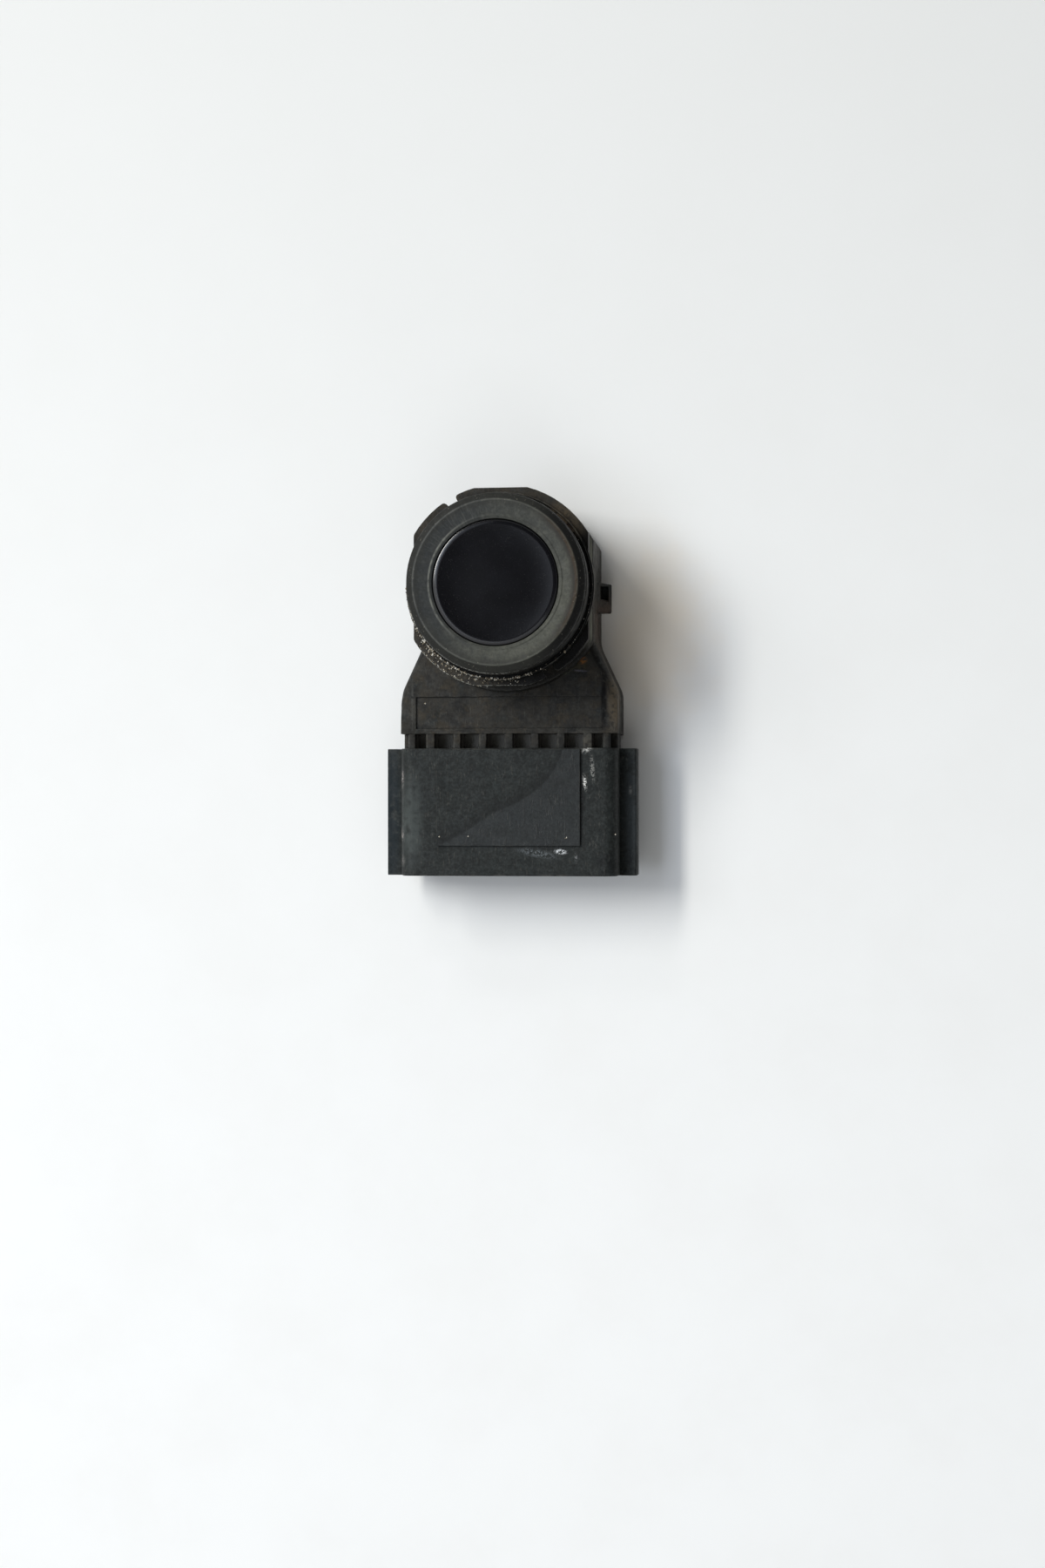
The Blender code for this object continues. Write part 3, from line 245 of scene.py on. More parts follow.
# Housing: black nylon 6 with glass fibres, injection moulded and years on a bumper. To the eye it is a
# dull black that fibres and dust turn grey, with a broad soft sheen.
housingLook = {
    "base": "#292927",          # black nylon, greyed by fibres at the surface
    "worn": "#3b3b38",
    "warm": "#413a2e",          # road film, away from the plug's end
    "cold": "#1f292c",
    "plug": "#303534",          # the plug's end is cleaner and cooler
    "fibre": "#53534e",         # pale glass fibres lie along the flow
    "grime": "#0a0908",
    "dust": "#413e38",          # road dust on what faces up
    "packedDust": "#84827b",
    "brownDust": "#3f3a31",
    # painted shade, almost black, on the right of the lug ring and flange
    "paintedShade": "#070706",
    "ledgeDust": "#a2a395",
    # painted shade in the gap between the ring's skirt and the flange
    "gapShade": "#040403",
    "film": "#343637",          # a lighter tone painted on the latch pad past the edge of the barrel's shadow
    # a dark line painted along the edge of the barrel's shadow on the latch pad
    "shadowEdgeLine": "#191a1a",
    "edge": "#5a5953",          # rubbed edges turn pale
    "lugEdge": "#9a9a92",
    # how far each tone covers what is under it
    "shares": {
        "warm": (0.35, 0.7),    # on the walls and on what faces up
        "cold": 0.5, "plug": 0.75, "fibre": 0.5, "mottle": 0.42, "coarse": 0.4, "scratch": 0.14,
        "dust": 0.45, "packedDust": 0.8, "cornerShade": 0.55, "brownDust": 0.5, "paintedShade": 0.92,
        "ledgeDust": 0.9, "film": 0.5, "shadowEdgeLine": 0.55, "edge": 0.4, "lugEdge": 0.8,
    },
    # patterns: patch size, the noise levels where they start and are full, detail and stretch
    "patterns": {
        "worn": (1.8, 0.38, 0.68), "warm": (1.5, 0.48, 0.66), "cold": (2.3, 0.52, 0.72),
        "fibre": (0.22, 0.58, 0.72, 2.0, (1.0, 0.2, 1.0)),
        "mottle": (0.3, 0.35, 0.65, 2.0),       # fine grain, drawn as coarse as the render can show
        "coarse": (0.7, 0.35, 0.65, 4.0),
        "scratch": (0.1, 0.7, 0.78, 1.0, (0.05, 1.0, 1.0)),
        "dust": (1.3, 0.3, 0.7, 4.0), "brownDust": (0.5, 0.38, 0.64), "gapShade": (0.5, 0.2, 0.4),
        "shadowEdgeWobble": (0.5, 0.2, 0.8), "film": (1.6, 0.1, 0.6), "edge": (1.1, 0.42, 0.66),
        "lugEdge": (0.22, 0.42, 0.6, 2.0), "gloss": (2.4, 0.35, 0.7),
    },
    # zones: limits along x, y and z or along r from the barrel's axis, where they start and are full
    "zones": {
        "body": [("y", -18.4, -17.0)],
        "plug": [("y", -17.5, -18.5)],
        "pocket": [
            ("z", 9.7, 8.2), ("y", -16.2, -16.5), ("y", -18.3, -18.0), ("x", 11.7, 11.3), ("x", -11.7, -11.3),
        ],
        "groove": [("r", 9.9, 10.2), ("z", 14.5, 16.5), ("z", 22.0, 20.5)],
        "ledge": [("z", 11.2, 11.7), ("z", 12.4, 12.0), ("y", -7.0, -4.5)],
        "gapShade": [("r", 10.5, 10.35), ("z", 17.6, 18.1), ("z", 20.3, 19.2)],
        "pad": [("z", 10.68, 10.78), ("y", -15.0, -18.2)],
        "leftOfFlank": [("x", 11.5, 8.5)],
        "lugTop": [("z", 16.6, 17.0)],
    },
    # sides: a direction across the barrel, with the limits along it
    "sides": {
        "shaded": (0.9, -0.45, 3.0, 7.0), "ledge": (0.8, -0.6, 2.0, 6.0), "lugEdge": (-0.75, -0.66, 3.5, 7.5),
    },
    # facing-up limits for dust, and the reach and levels of the occlusion that paints shade into corners
    "facingUp": (0.55, 0.95), "cornerShadeReach": 0.5, "cornerShade": (0.66, 0.36),
    # outer points of the edge of the barrel's shadow on the latch pad, across and along it, and how far past
    # it the painted lighter tone and the painted dark line at its edge lie
    "shadowEdgeOnPad": [
        (-8.4, -29.4), (-4.6, -27.5), (-2.3, -25.9), (2.0, -23.8), (4.8, -21.4), (6.0, -19.3), (6.6, -17.6),
    ],
    "shadowEdgeWander": 0.35, "litPastShadowEdge": (-0.05, 0.6), "shadowEdgeLineStart": (-1.9, -0.1), "shadowEdgeLineEnd": (0.2, -0.05),
    "roughness": (0.42, 0.62), "dustRoughness": 0.5, "filmRoughness": -0.12, "ior": 1.53, "specular": 0.12,
    "poreSize": 0.4, "fibreRelief": 0.6, "scratchRelief": -0.35, "reliefStrength": 0.6, "reliefDepth": 0.05,
    "wideEdge": 0.2, "narrowEdge": 0.07,    # rounding where there is room, and elsewhere
    "edgeSteps": 2, "sharpAngle": 28.0,
    # the noise levels where a mark's speckle starts and is full, and how much a ragged one adds
    "speckle": ((0.2, 0.3), (0.5, 0.14)),
    # marks: centre, radii, turn in degrees, tone, share, grain, raggedness
    "marks": {
        "ringStain": ((7.7, 6.9, 20.0), (2.6, 1.0, 3.0), -48, "#3a1f18", 0.55, 0.8, 0.5),
        "rimUpper": ((7.6, 7.6, 18.6), (3.6, 1.5, 3.0), -45, "#5c5241", 0.75, 0.7, 0.4),
        "lugLow": ((2.5, -11.4, 17.1), (8.5, 0.9, 0.8), 0, "#1b1a18", 0.8, 0.4, 0.4),
        "ledgeLow": ((5.0, -9.5, 11.8), (7.0, 3.6, 0.9), 35, "#1a1918", 0.6, 0.6, 0.3),
        "neckRust": ((11.2, -3.5, 6.5), (2.6, 4.4, 9.0), 0, "#48352a", 0.75, 0.9, 0.4),
        "flankTan": ((12.6, -12.4, 8.8), (1.6, 5.2, 4.0), 0, "#6a5f4e", 0.7, 0.6, 0.3),
        # painted shade: a dark line along the deck's right edge, where a small step turns away from the light
        "deckShadeLine": ((11.1, -12.9, 10.0), (0.5, 4.4, 1.2), 0, "#080808", 0.9, 0.6, 0.2),
        "recessDust": ((-10.9, -14.0, 9.9), (0.3, 2.3, 0.6), 0, "#42423f", 0.7, 0.5, 0.3),
        "leftCorner": ((-11.3, -26.5, 10.0), (1.8, 7.5, 2.4), 0, "#4b514f", 0.6, 1.2, 0.3),
        "railRight": ((14.2, -25.5, 7.3), (1.6, 9.0, 1.4), 0, "#363b3d", 0.6, 1.0, 0.3),
        # painted shade: the same dark line running up to the shoulder
        "shoulderShadeLine": ((10.2, -7.7, 10.0), (0.4, 3.0, 1.2), 28, "#080808", 0.7, 0.6, 0.25),
        "railLeft": ((-14.1, -25.5, 7.3), (1.2, 12.0, 1.2), 0, "#121c21", 0.8, 1.2, 0.2),
        # painted highlight: a lighter line along the deck's left edge, where the step faces the light
        "leftLitLine": ((-11.3, -13.0, 10.0), (0.22, 4.0, 1.0), 0, "#4c4c48", 0.6, 0.4, 0.4),
        "grooveSmear": ((9.0, -17.2, 10.0), (2.8, 1.6, 1.4), 0, "#55534b", 0.6, 0.5, 0.5),
        "orangeSpot": ((8.62, -8.0, 10.0), (0.75, 0.55, 1.0), 20, "#8a5a2c", 0.9, 0.3, 0.5),
        "orangeDust": ((8.2, -8.6, 10.0), (1.6, 0.9, 1.0), 20, "#3f3a28", 0.6, 0.4, 0.5),
        # painted shade over the catch, which lies in the barrel's shadow
        "catchShade": ((11.2, 0.4, 6.6), (0.9, 1.6, 1.5), 0, "#0a0a0a", 0.75, 0.8, 0.2),
        "lugTan": ((9.3, 3.4, 17.2), (0.3, 0.6, 1.0), 20, "#9a7a48", 0.8, 0.2, 0.5),
        "deckStreakA": ((8.35, -9.17, 10.2), (1.3, 0.18, 1.2), -4, "#65636c", 0.6, 0.3, 0.5),
        "deckStreakB": ((6.9, -9.3, 10.2), (1.3, 0.2, 1.2), 33, "#54574a", 0.6, 0.3, 0.5),
        "padEdgeScuff": ((8.92, -22.1, 10.6), (0.36, 1.3, 0.8), 8, "#f6f6f0", 1.0, 0.3, 0.8),
        "padTopScuff": ((9.2, -18.25, 10.6), (1.1, 0.55, 0.8), 30, "#c4c4be", 0.95, 0.35, 0.8),
        "stripScuff": ((9.8, -20.5, 10.6), (0.4, 2.4, 0.8), 4, "#9d9d97", 0.8, 0.35, 0.8),
        "lowScuffA": ((6.1, -30.1, 10.6), (1.05, 0.42, 0.8), -6, "#f4f8fa", 1.0, 0.3, 0.75),
        "lowScuffB": ((3.4, -30.3, 10.6), (3.6, 0.7, 0.8), -10, "#6d7376", 0.8, 0.35, 0.8),
        "lowScuffC": ((7.9, -30.8, 10.6), (0.3, 1.0, 0.8), 5, "#8d8f90", 0.65, 0.3, 0.9),
        # painted shade: the latch pad's shadow along its right side
        "padSideShade": ((8.6, -23.8, 10.5), (0.4, 5.9, 0.6), 0, "#131312", 0.6, 0.5, 0.5),
        # painted shade on the shroud's lower right corner, which turns away from the light
        "rightCornerShade": ((11.4, -31.5, 10.0), (1.6, 1.8, 2.0), 0, "#131316", 0.6, 1.0, 0.5),
        "leftRubA": ((-12.6, -21.6, 9.3), (0.7, 1.7, 1.2), 0, "#a29b97", 0.9, 0.35, 0.8),
        "leftRubB": ((-12.6, -28.1, 9.3), (0.7, 1.1, 1.2), 0, "#aaa39f", 0.9, 0.3, 0.8),
        "leftRubC": ((-12.3, -31.2, 9.2), (0.6, 1.0, 1.2), 0, "#7a7672", 0.75, 0.3, 0.5),
        "railRub": ((14.0, -23.0, 7.3), (0.3, 0.9, 0.5), 0, "#7c7c78", 0.5, 0.2, 0.6),
    },
}


def pastShadowEdge(tree, at):
    # how far a point lies past the edge of the barrel's shadow on the latch pad, towards the connector's
    # mouth, in millimetres
    points = housingLook["shadowEdgeOnPad"]
    parts = addNode(tree, "ShaderNodeSeparateXYZ", {0: at})
    xs, ys = zip(*points)
    share = addNode(tree, "ShaderNodeMapRange", {0: parts.outputs[0], 1: xs[0], 2: xs[-1]})
    curve = addNode(tree, "ShaderNodeFloatCurve", {1: share.outputs[0]})
    line = curve.mapping.curves[0]
    for i, (x, y) in enumerate(points):
        onCurve = ((x - xs[0]) / (xs[-1] - xs[0]), (y - ys[0]) / (ys[-1] - ys[0]))
        if i in (0, len(points) - 1):
            line.points[0 if i == 0 else -1].location = onCurve
        else:
            line.points.new(*onCurve)
    curve.mapping.update()
    edge = addNode(tree, "ShaderNodeMapRange", {0: curve.outputs[0], 3: ys[0], 4: ys[-1]})
    return addNode(
        tree, "ShaderNodeMath", {0: edge.outputs[0], 1: parts.outputs[1]}, operation="SUBTRACT",
    ).outputs[0]


def makeHousingMaterial():
    look = housingLook
    shares = look["shares"]
    material, tree, shader, at = startMaterial("mouldedGlassFilledNylon")
    place = addNode(tree, "ShaderNodeSeparateXYZ", {0: at}).outputs
    axes = {"x": place[0], "y": place[1], "z": place[2], "r": polar(tree, at)}
    normal = addNode(tree, "ShaderNodeTexCoord").outputs["Normal"]
    up = between(tree, addNode(tree, "ShaderNodeSeparateXYZ", {0: normal}).outputs[2], *look["facingUp"])

    def pattern(name):
        return blotches(tree, at, *look["patterns"][name])

    def zone(name):
        return times(tree, *(between(tree, axes[axis], *limits) for axis, *limits in look["zones"][name]))

    def side(name):
        return towards(tree, at, *look["sides"][name])

    # patchy black nylon, cooler at the plug, with pale fibres and a fine mottle
    colour = coat(tree, linear(look["base"]), look["worn"], pattern("worn"))
    body = zone("body")
    onWalls, onTop = shares["warm"]
    level = addNode(tree, "ShaderNodeMapRange", {0: up, 3: onWalls, 4: onTop}).outputs[0]
    colour = coat(tree, colour, look["warm"], body, pattern("warm"), level)
    colour = coat(tree, colour, look["cold"], pattern("cold"), shares["cold"])
    colour = coat(tree, colour, look["plug"], zone("plug"), shares["plug"])
    fibres = pattern("fibre")
    colour = coat(tree, colour, look["fibre"], fibres, shares["fibre"])
    for name in ("mottle", "coarse"):
        colour = coat(tree, colour, look["grime"], pattern(name), shares[name])
    scratches = pattern("scratch")
    colour = coat(tree, colour, look["fibre"], scratches, up, shares["scratch"])

    # road dust lies on the body's deck, and thicker in the pockets of the groove
    dusting = times(tree, up, body, pattern("dust"), shares["dust"])
    colour = coat(tree, colour, look["dust"], dusting)
    colour = coat(tree, colour, look["packedDust"], zone("pocket"), shares["packedDust"])

    # painted shade: an occlusion mask darkens the corners, standing also for the dirt that sits there
    nearby = {"Distance": look["cornerShadeReach"] * mm}
    corner = addNode(tree, "ShaderNodeAmbientOcclusion", nearby, samples=8, only_local=True)
    cornerShade = between(tree, corner.outputs["AO"], *look["cornerShade"])
    colour = coat(tree, colour, look["grime"], cornerShade, shares["cornerShade"])

    # the lug ring and flange: dusty brown, with painted shade almost black on the right where the barrel
    # shades them, over a dusty ledge
    groove = zone("groove")
    colour = coat(tree, colour, look["brownDust"], groove, pattern("brownDust"), shares["brownDust"])
    colour = coat(tree, colour, look["paintedShade"], groove, side("shaded"), shares["paintedShade"])
    colour = coat(tree, colour, look["ledgeDust"], zone("ledge"), up, side("ledge"), shares["ledgeDust"])
    # painted shade in the gap between the ring's skirt and the flange
    colour = coat(tree, colour, look["gapShade"], zone("gapShade"), pattern("gapShade"))

    # painted light and shade on the latch pad: a lighter tone past the edge of the barrel's shadow, with a
    # painted dark line along that edge
    past = pastShadowEdge(tree, at)
    onPad = times(tree, zone("pad"), up)
    filmed = between(tree, added(tree, past, look["shadowEdgeWander"], pattern("shadowEdgeWobble")), *look["litPastShadowEdge"])
    film = times(tree, onPad, filmed, pattern("film"))
    colour = coat(tree, colour, look["film"], film, shares["film"])
    line = [between(tree, past, *look[limits]) for limits in ("shadowEdgeLineStart", "shadowEdgeLineEnd")]
    colour = coat(tree, colour, look["shadowEdgeLine"], onPad, *line, shares["shadowEdgeLine"])

    for centre, radii, turn, tone, share, grain, ragged in look["marks"].values():
        mark = spot(tree, at, centre, radii, turn, ragged, grain)
        speckle = blotches(tree, at, grain, *(level + more * ragged for level, more in look["speckle"]))
        colour = coat(tree, colour, tone, mark, speckle, share)

    # rubbed edges, brightest along the lug ring's lower left
    rubbed = addNode(tree, "ShaderNodeAttribute", attribute_name="rubbedEdge").outputs["Fac"]
    colour = coat(tree, colour, look["edge"], rubbed, pattern("edge"), zone("leftOfFlank"), shares["edge"])
    lugEdge = times(tree, rubbed, zone("lugTop"), side("lugEdge"), pattern("lugEdge"))
    colour = coat(tree, colour, look["lugEdge"], lugEdge, shares["lugEdge"])

    low, high = look["roughness"]
    rough = addNode(tree, "ShaderNodeMapRange", {0: pattern("gloss"), 3: low, 4: high}).outputs[0]
    rough = added(tree, added(tree, rough, look["dustRoughness"], dusting), look["filmRoughness"], film)
    shader.inputs["IOR"].default_value = look["ior"]
    shader.inputs["Specular IOR Level"].default_value = look["specular"]

    pores = {"Vector": at, "Scale": 1 / look["poreSize"], "Detail": 3.0, "Roughness": 0.7}
    height = addNode(tree, "ShaderNodeTexNoise", pores).outputs[0]
    height = added(tree, added(tree, height, look["fibreRelief"], fibres), look["scratchRelief"], scratches)
    wire(tree, shader, colour, rough, height, look["reliefStrength"], look["reliefDepth"])
    return material


def roomBeside(edge, sharp):
    # how far an edge's rounding may reach before it meets another feature of its faces
    def gap(point, other):
        a, b = (v.co for v in other.verts)
        near, share = geometry.intersect_point_line(point, a, b)
        near = a if share < 0 else b if share > 1 else near
        return (point - near).length

    room = 1.0
    for face in edge.link_faces:
        for other in face.edges:
            if other is edge or other not in sharp:
                continue
            if set(other.verts) & set(edge.verts):
                if alignment(edge, other) < 0.9:
                    room = min(room, other.calc_length())
                continue
            pairs = [(v.co, other) for v in edge.verts] + [(v.co, edge) for v in other.verts]
            room = min(room, *(gap(point, e) for point, e in pairs))
    return room


def alignment(a, b):
    # 1 for two edges in one line, 0 for a right angle
    first, second = ((e.verts[1].co - e.verts[0].co).normalized() for e in (a, b))
    return abs(first.dot(second))


def makeRoundedCopy(node, name, wide, narrow, steps, sharpAngle):
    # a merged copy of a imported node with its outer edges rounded, widely where there is room, and the
    # new strips marked as rubbed; it is cut along its middle so that no face runs round a hole
    bm = bmesh.new()
    bm.from_mesh(nodes[node].data)
    bmesh.ops.remove_doubles(bm, verts=bm.verts, dist=0.001 * mm)
    whole = [*bm.verts, *bm.edges, *bm.faces]
    cut = bmesh.ops.bisect_plane(bm, geom=whole, dist=0.001 * mm, plane_no=(1, 0, 0))["geom_cut"]
    loose = [e for e in bm.edges if e not in set(cut)]
    bmesh.ops.dissolve_limit(bm, angle_limit=math.radians(0.8), verts=bm.verts, edges=loose)
    weight = bm.edges.layers.float.new("bevel_weight_edge")
    sharp = {e for e in bm.edges if e.is_manifold and e.calc_face_angle() > math.radians(sharpAngle)}
    widths = {e: wide if roomBeside(e, sharp) > 2.5 * wide * mm else narrow for e in sharp if e.is_convex}
    spreading = [e for e, width in widths.items() if width == narrow]
    while spreading:
        edge = spreading.pop()
        for other in (e for v in edge.verts for e in v.link_edges):
            if widths.get(other) == wide and alignment(edge, other) > 0.9:
                widths[other] = narrow
                spreading.append(other)
    for edge in sharp:
        if edge in widths:
            edge[weight] = widths[edge] / wide
        else:
            edge.smooth = False
    for face in bm.faces:
        face.smooth = True
    mesh = bpy.data.meshes.new(name)
    bm.to_mesh(mesh)
    bm.free()
    mesh.materials.append(bpy.data.materials.new("plainFace"))
    mesh.materials.append(bpy.data.materials.new("roundedStrip"))
    obj = bpy.data.objects.new(name, mesh)
    collection.objects.link(obj)
    bevel = obj.modifiers.new("rounding", "BEVEL")
    bevel.limit_method = "WEIGHT"
    bevel.edge_weight = "bevel_weight_edge"
    bevel.width = wide * mm
    bevel.segments = steps
    bevel.use_clamp_overlap = False
    bevel.material = 1
    bpy.context.view_layer.update()
    obj.data = bpy.data.meshes.new_from_object(obj.evaluated_get(bpy.context.evaluated_depsgraph_get()))
    obj.modifiers.clear()
    rubbed = obj.data.attributes.new("rubbedEdge", "FLOAT", "FACE")
    for face in obj.data.polygons:
        rubbed.data[face.index].value = face.material_index
        face.material_index = 0
    obj.data.materials.clear()
    weighted = obj.modifiers.new("weightedNormals", "WEIGHTED_NORMAL")
    weighted.keep_sharp = True
    return obj


nylon = makeHousingMaterial()
housing = makeRoundedCopy(
    "housing", "housing_shell", housingLook["wideEdge"], housingLook["narrowEdge"], housingLook["edgeSteps"],
    housingLook["sharpAngle"],
)
housing.data.materials.append(nylon)
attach(housing, "root")
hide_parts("housing")
print("housing dressed")


def startTree(name, values):
    # a Geometry Nodes tree with named inputs; returns it with its input and output nodes
    tree = bpy.data.node_groups.new(name, "GeometryNodeTree")
    kinds = {
        float: "NodeSocketFloat", int: "NodeSocketInt", bpy.types.Object: "NodeSocketObject",
        bpy.types.Material: "NodeSocketMaterial",
    }
    for key, value in values.items():
        kind = next(kinds[k] for k in kinds if isinstance(value, k))
        socket = tree.interface.new_socket(key, in_out="INPUT", socket_type=kind)
        if kind in ("NodeSocketFloat", "NodeSocketInt"):
            socket.default_value = value
    tree.interface.new_socket("Geometry", in_out="OUTPUT", socket_type="NodeSocketGeometry")
    return tree, addNode(tree, "NodeGroupInput").outputs, addNode(tree, "NodeGroupOutput")


def endTree(tree, given, made, result):
    # instances made real and the material set, which is how each tree ends
    real = addNode(tree, "GeometryNodeRealizeInstances", {0: made}).outputs[0]
    finished = addNode(tree, "GeometryNodeSetMaterial", {"Geometry": real, "Material": given["Material"]})
    tree.links.new(finished.outputs[0], result.inputs[0])


def grow(name, tree, values):
    # runs the tree with its inputs set by identifier, and keeps the result as a plain mesh
    host = bpy.data.objects.new(f"{name}_host", bpy.data.meshes.new(f"{name}_host"))
    collection.objects.link(host)
    modifier = host.modifiers.new("nodes", "NODES")
    modifier.node_group = tree
    for item in tree.interface.items_tree:
        if item.in_out == "INPUT" and item.name in values:
            modifier[item.identifier] = values[item.name]
    bpy.context.view_layer.update()
    depsgraph = bpy.context.evaluated_depsgraph_get()
    mesh = bpy.data.meshes.new_from_object(host.evaluated_get(depsgraph))
    host.modifiers.remove(modifier)
    bpy.data.objects.remove(host, do_unlink=True)
    mesh.name = name
    obj = bpy.data.objects.new(name, mesh)
    collection.objects.link(obj)
    return obj


# Turned pieces: a closed profile swept round the barrel's axis, with a slight moulded waviness
turning = {"Sweep Radius": 1.0 * mm, "Steps": 240, "Waviness": 0.0, "Wave Length": 1.5 * mm}


def makeTurnedTree():
    tree, given, result = startTree(
        "turnedPiece", {**turning, "Profile": nodes["housing"], "Seed": 3, "Material": nylon},
    )
    circle = addNode(
        tree, "GeometryNodeCurvePrimitiveCircle",
        {"Resolution": given["Steps"], "Radius": given["Sweep Radius"]},
    )
    profile = addNode(tree, "GeometryNodeObjectInfo", {"Object": given["Profile"]})
    sweep = addNode(
        tree, "GeometryNodeCurveToMesh",
        {"Curve": circle.outputs[0], "Profile Curve": profile.outputs["Geometry"]},
    )
    merged = addNode(
        tree, "GeometryNodeMergeByDistance", {"Geometry": sweep.outputs[0], "Distance": 0.002 * mm},
    )
    frequency = addNode(tree, "ShaderNodeMath", {0: 1.0, 1: given["Wave Length"]}, operation="DIVIDE")
    noise = addNode(
        tree, "ShaderNodeTexNoise", {"Scale": frequency.outputs[0], "W": given["Seed"]},
        noise_dimensions="4D",
    )
    centred = addNode(tree, "ShaderNodeMath", {0: noise.outputs[0], 1: 0.5}, operation="SUBTRACT")
    swell = addNode(
        tree, "ShaderNodeMath", {0: centred.outputs[0], 1: given["Waviness"]}, operation="MULTIPLY",
    )
    push = addNode(
        tree, "ShaderNodeVectorMath",
        {0: addNode(tree, "GeometryNodeInputNormal").outputs[0], "Scale": swell.outputs[0]},
        operation="SCALE",
    )
    moved = addNode(
        tree, "GeometryNodeSetPosition", {"Geometry": merged.outputs[0], "Offset": push.outputs[0]},
    )
    smooth = addNode(tree, "GeometryNodeSetShadeSmooth", {"Geometry": moved.outputs[0]})
    endTree(tree, given, smooth.outputs[0], result)
    return tree


def roundedProfile(corners, steps):
    # corners (radius, height, rounding) of a closed outline, each rounded by that many chords
    points = []
    for i, (r, z, rounding) in enumerate(corners):
        here = Vector((r, z))
        if rounding <= 0:
            points.append(here)
            continue
        back = Vector(corners[i - 1][:2]) - here
        ahead = Vector(corners[(i + 1) % len(corners)][:2]) - here
        reach = min(rounding, 0.49 * back.length, 0.49 * ahead.length)
        start = here + back.normalized() * reach
        end = here + ahead.normalized() * reach
        for k in range(steps + 1):
            t = k / steps
            points.append(start * (1 - t) ** 2 + here * 2 * t * (1 - t) + end * t * t)
    return points


def profileCurve(name, points):
    # the outline as a closed curve, laid as the sweep expects it: across is outwards, up is down
    curve = bpy.data.curves.new(name, "CURVE")
    curve.dimensions = "3D"
    spline = curve.splines.new("POLY")
    spline.points.add(len(points) - 1)
    for point, (r, z) in zip(spline.points, points):
        point.co = (r * mm - turning["Sweep Radius"], -z * mm, 0.0, 1.0)
    spline.use_cyclic_u = True
    obj = bpy.data.objects.new(name, curve)
    collection.objects.link(obj)
    return obj


def turnPiece(name, corners, steps, material, **values):
    profile = profileCurve(f"{name}_profile", roundedProfile(corners, steps))
    obj = grow(name, turnedTree, {**turning, **values, "Profile": profile, "Material": material})
    bpy.data.objects.remove(profile, do_unlink=True)
    bm = bmesh.new()
    bm.from_mesh(obj.data)
    bmesh.ops.remove_doubles(bm, verts=bm.verts, dist=0.001 * mm)
    bmesh.ops.dissolve_degenerate(bm, edges=bm.edges, dist=0.0005 * mm)
    bmesh.ops.recalc_face_normals(bm, faces=bm.faces)
    bm.to_mesh(obj.data)
    bm.free()
    return obj


# Decoupling ring: grey liquid silicone, moulded. To the eye it is matt and skin-like, with a bloom of
# road dust.
softRing = {
    "bore": 7.09, "crest": 9.2, "outer": 10.05, "sleeve": 8.6, "top": 22.6, "innerTop": 22.28,
    "shoulder": 22.02, "skirtFoot": 21.5, "sleeveFoot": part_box("decoupling_ring")[0].z / mm,
    "lipDepth": 0.3, "lips": 3, "cornerSteps": 6, "waviness": 0.03,
    # the warm tone and the cool one are painted light and shade: lighter and warmer on the lower right,
    # darker and cooler on the left
    "base": "#3a3c38", "bloom": "#4e4f48", "warm": "#55564b", "coolShade": "#262a30", "speckle": "#1c1d1a",
    "streak": "#65665f", "film": "#242420", "brown": "#211c14", "stain": "#4a3825", "slope": "#1b1b17",
    "paintedShade": "#050505", "worn": "#72736b", "crumb": "#9a9686",
    "shares": {
        "warm": 0.55, "coolShade": 0.55, "speckle": 0.36, "streak": 0.16, "film": 0.55, "brown": 0.85,
        "stain": 0.3, "slope": 0.85, "paintedShade": 0.85, "crest": 0.3, "worn": 0.7, "crumb": 0.45,
    },
    "patterns": {
        "bloom": (1.4, 0.35, 0.72),
        "speckle": (0.3, 0.32, 0.68, 3.0),      # finer on the real one, drawn as coarse as can show
        "uneven": (0.9, 0.2, 0.62), "worn": (0.6, 0.25, 0.6), "crumb": (0.22, 0.67, 0.74, 2.0),
        "gloss": (0.9, 0.3, 0.7),
    },
    "spokes": 40.0, "spokeBreak": 0.6, "rubs": (1.0, 0.5, 0.68, 1.0),   # radial rub marks
    "unevenness": -0.5,
    "sides": {
        "warm": (0.78, -0.62, 1.0, 9.0), "coolShade": (0.95, -0.3, 0.0, -7.5), "streak": (-0.55, 0.83, 5.5, 7.5),
        "brown": (0.99, 0.1, 4.5, 8.0), "stain": (0.99, 0.1, 5.0, 8.5), "paintedShade": (0.99, 0.0, 3.0, 7.5),
        "lip": (-1.0, 0.1, 3.5, 6.5),
    },
    # limits along the radius, the first ones of film and brown uneven
    "bands": {
        "film": ((7.9, 8.6), (9.2, 9.1)), "brown": ((7.7, 8.7), (9.45, 9.2)),
        "stain": ((8.8, 9.0), (9.3, 9.2)), "crest": ((9.02, 9.16), (9.34, 9.2)),
        "slope": ((9.22, 9.36),), "paintedShade": ((9.2, 9.4),), "crumb": ((8.6, 9.4),),
        "lip": ((7.6, 7.48), (7.28, 7.36)),
    },
    "roughness": (0.55, 0.75), "ior": 1.41, "specular": 0.35,
    "skinSize": 0.35, "rubRelief": 0.2, "reliefStrength": 0.5, "reliefDepth": 0.03,
}


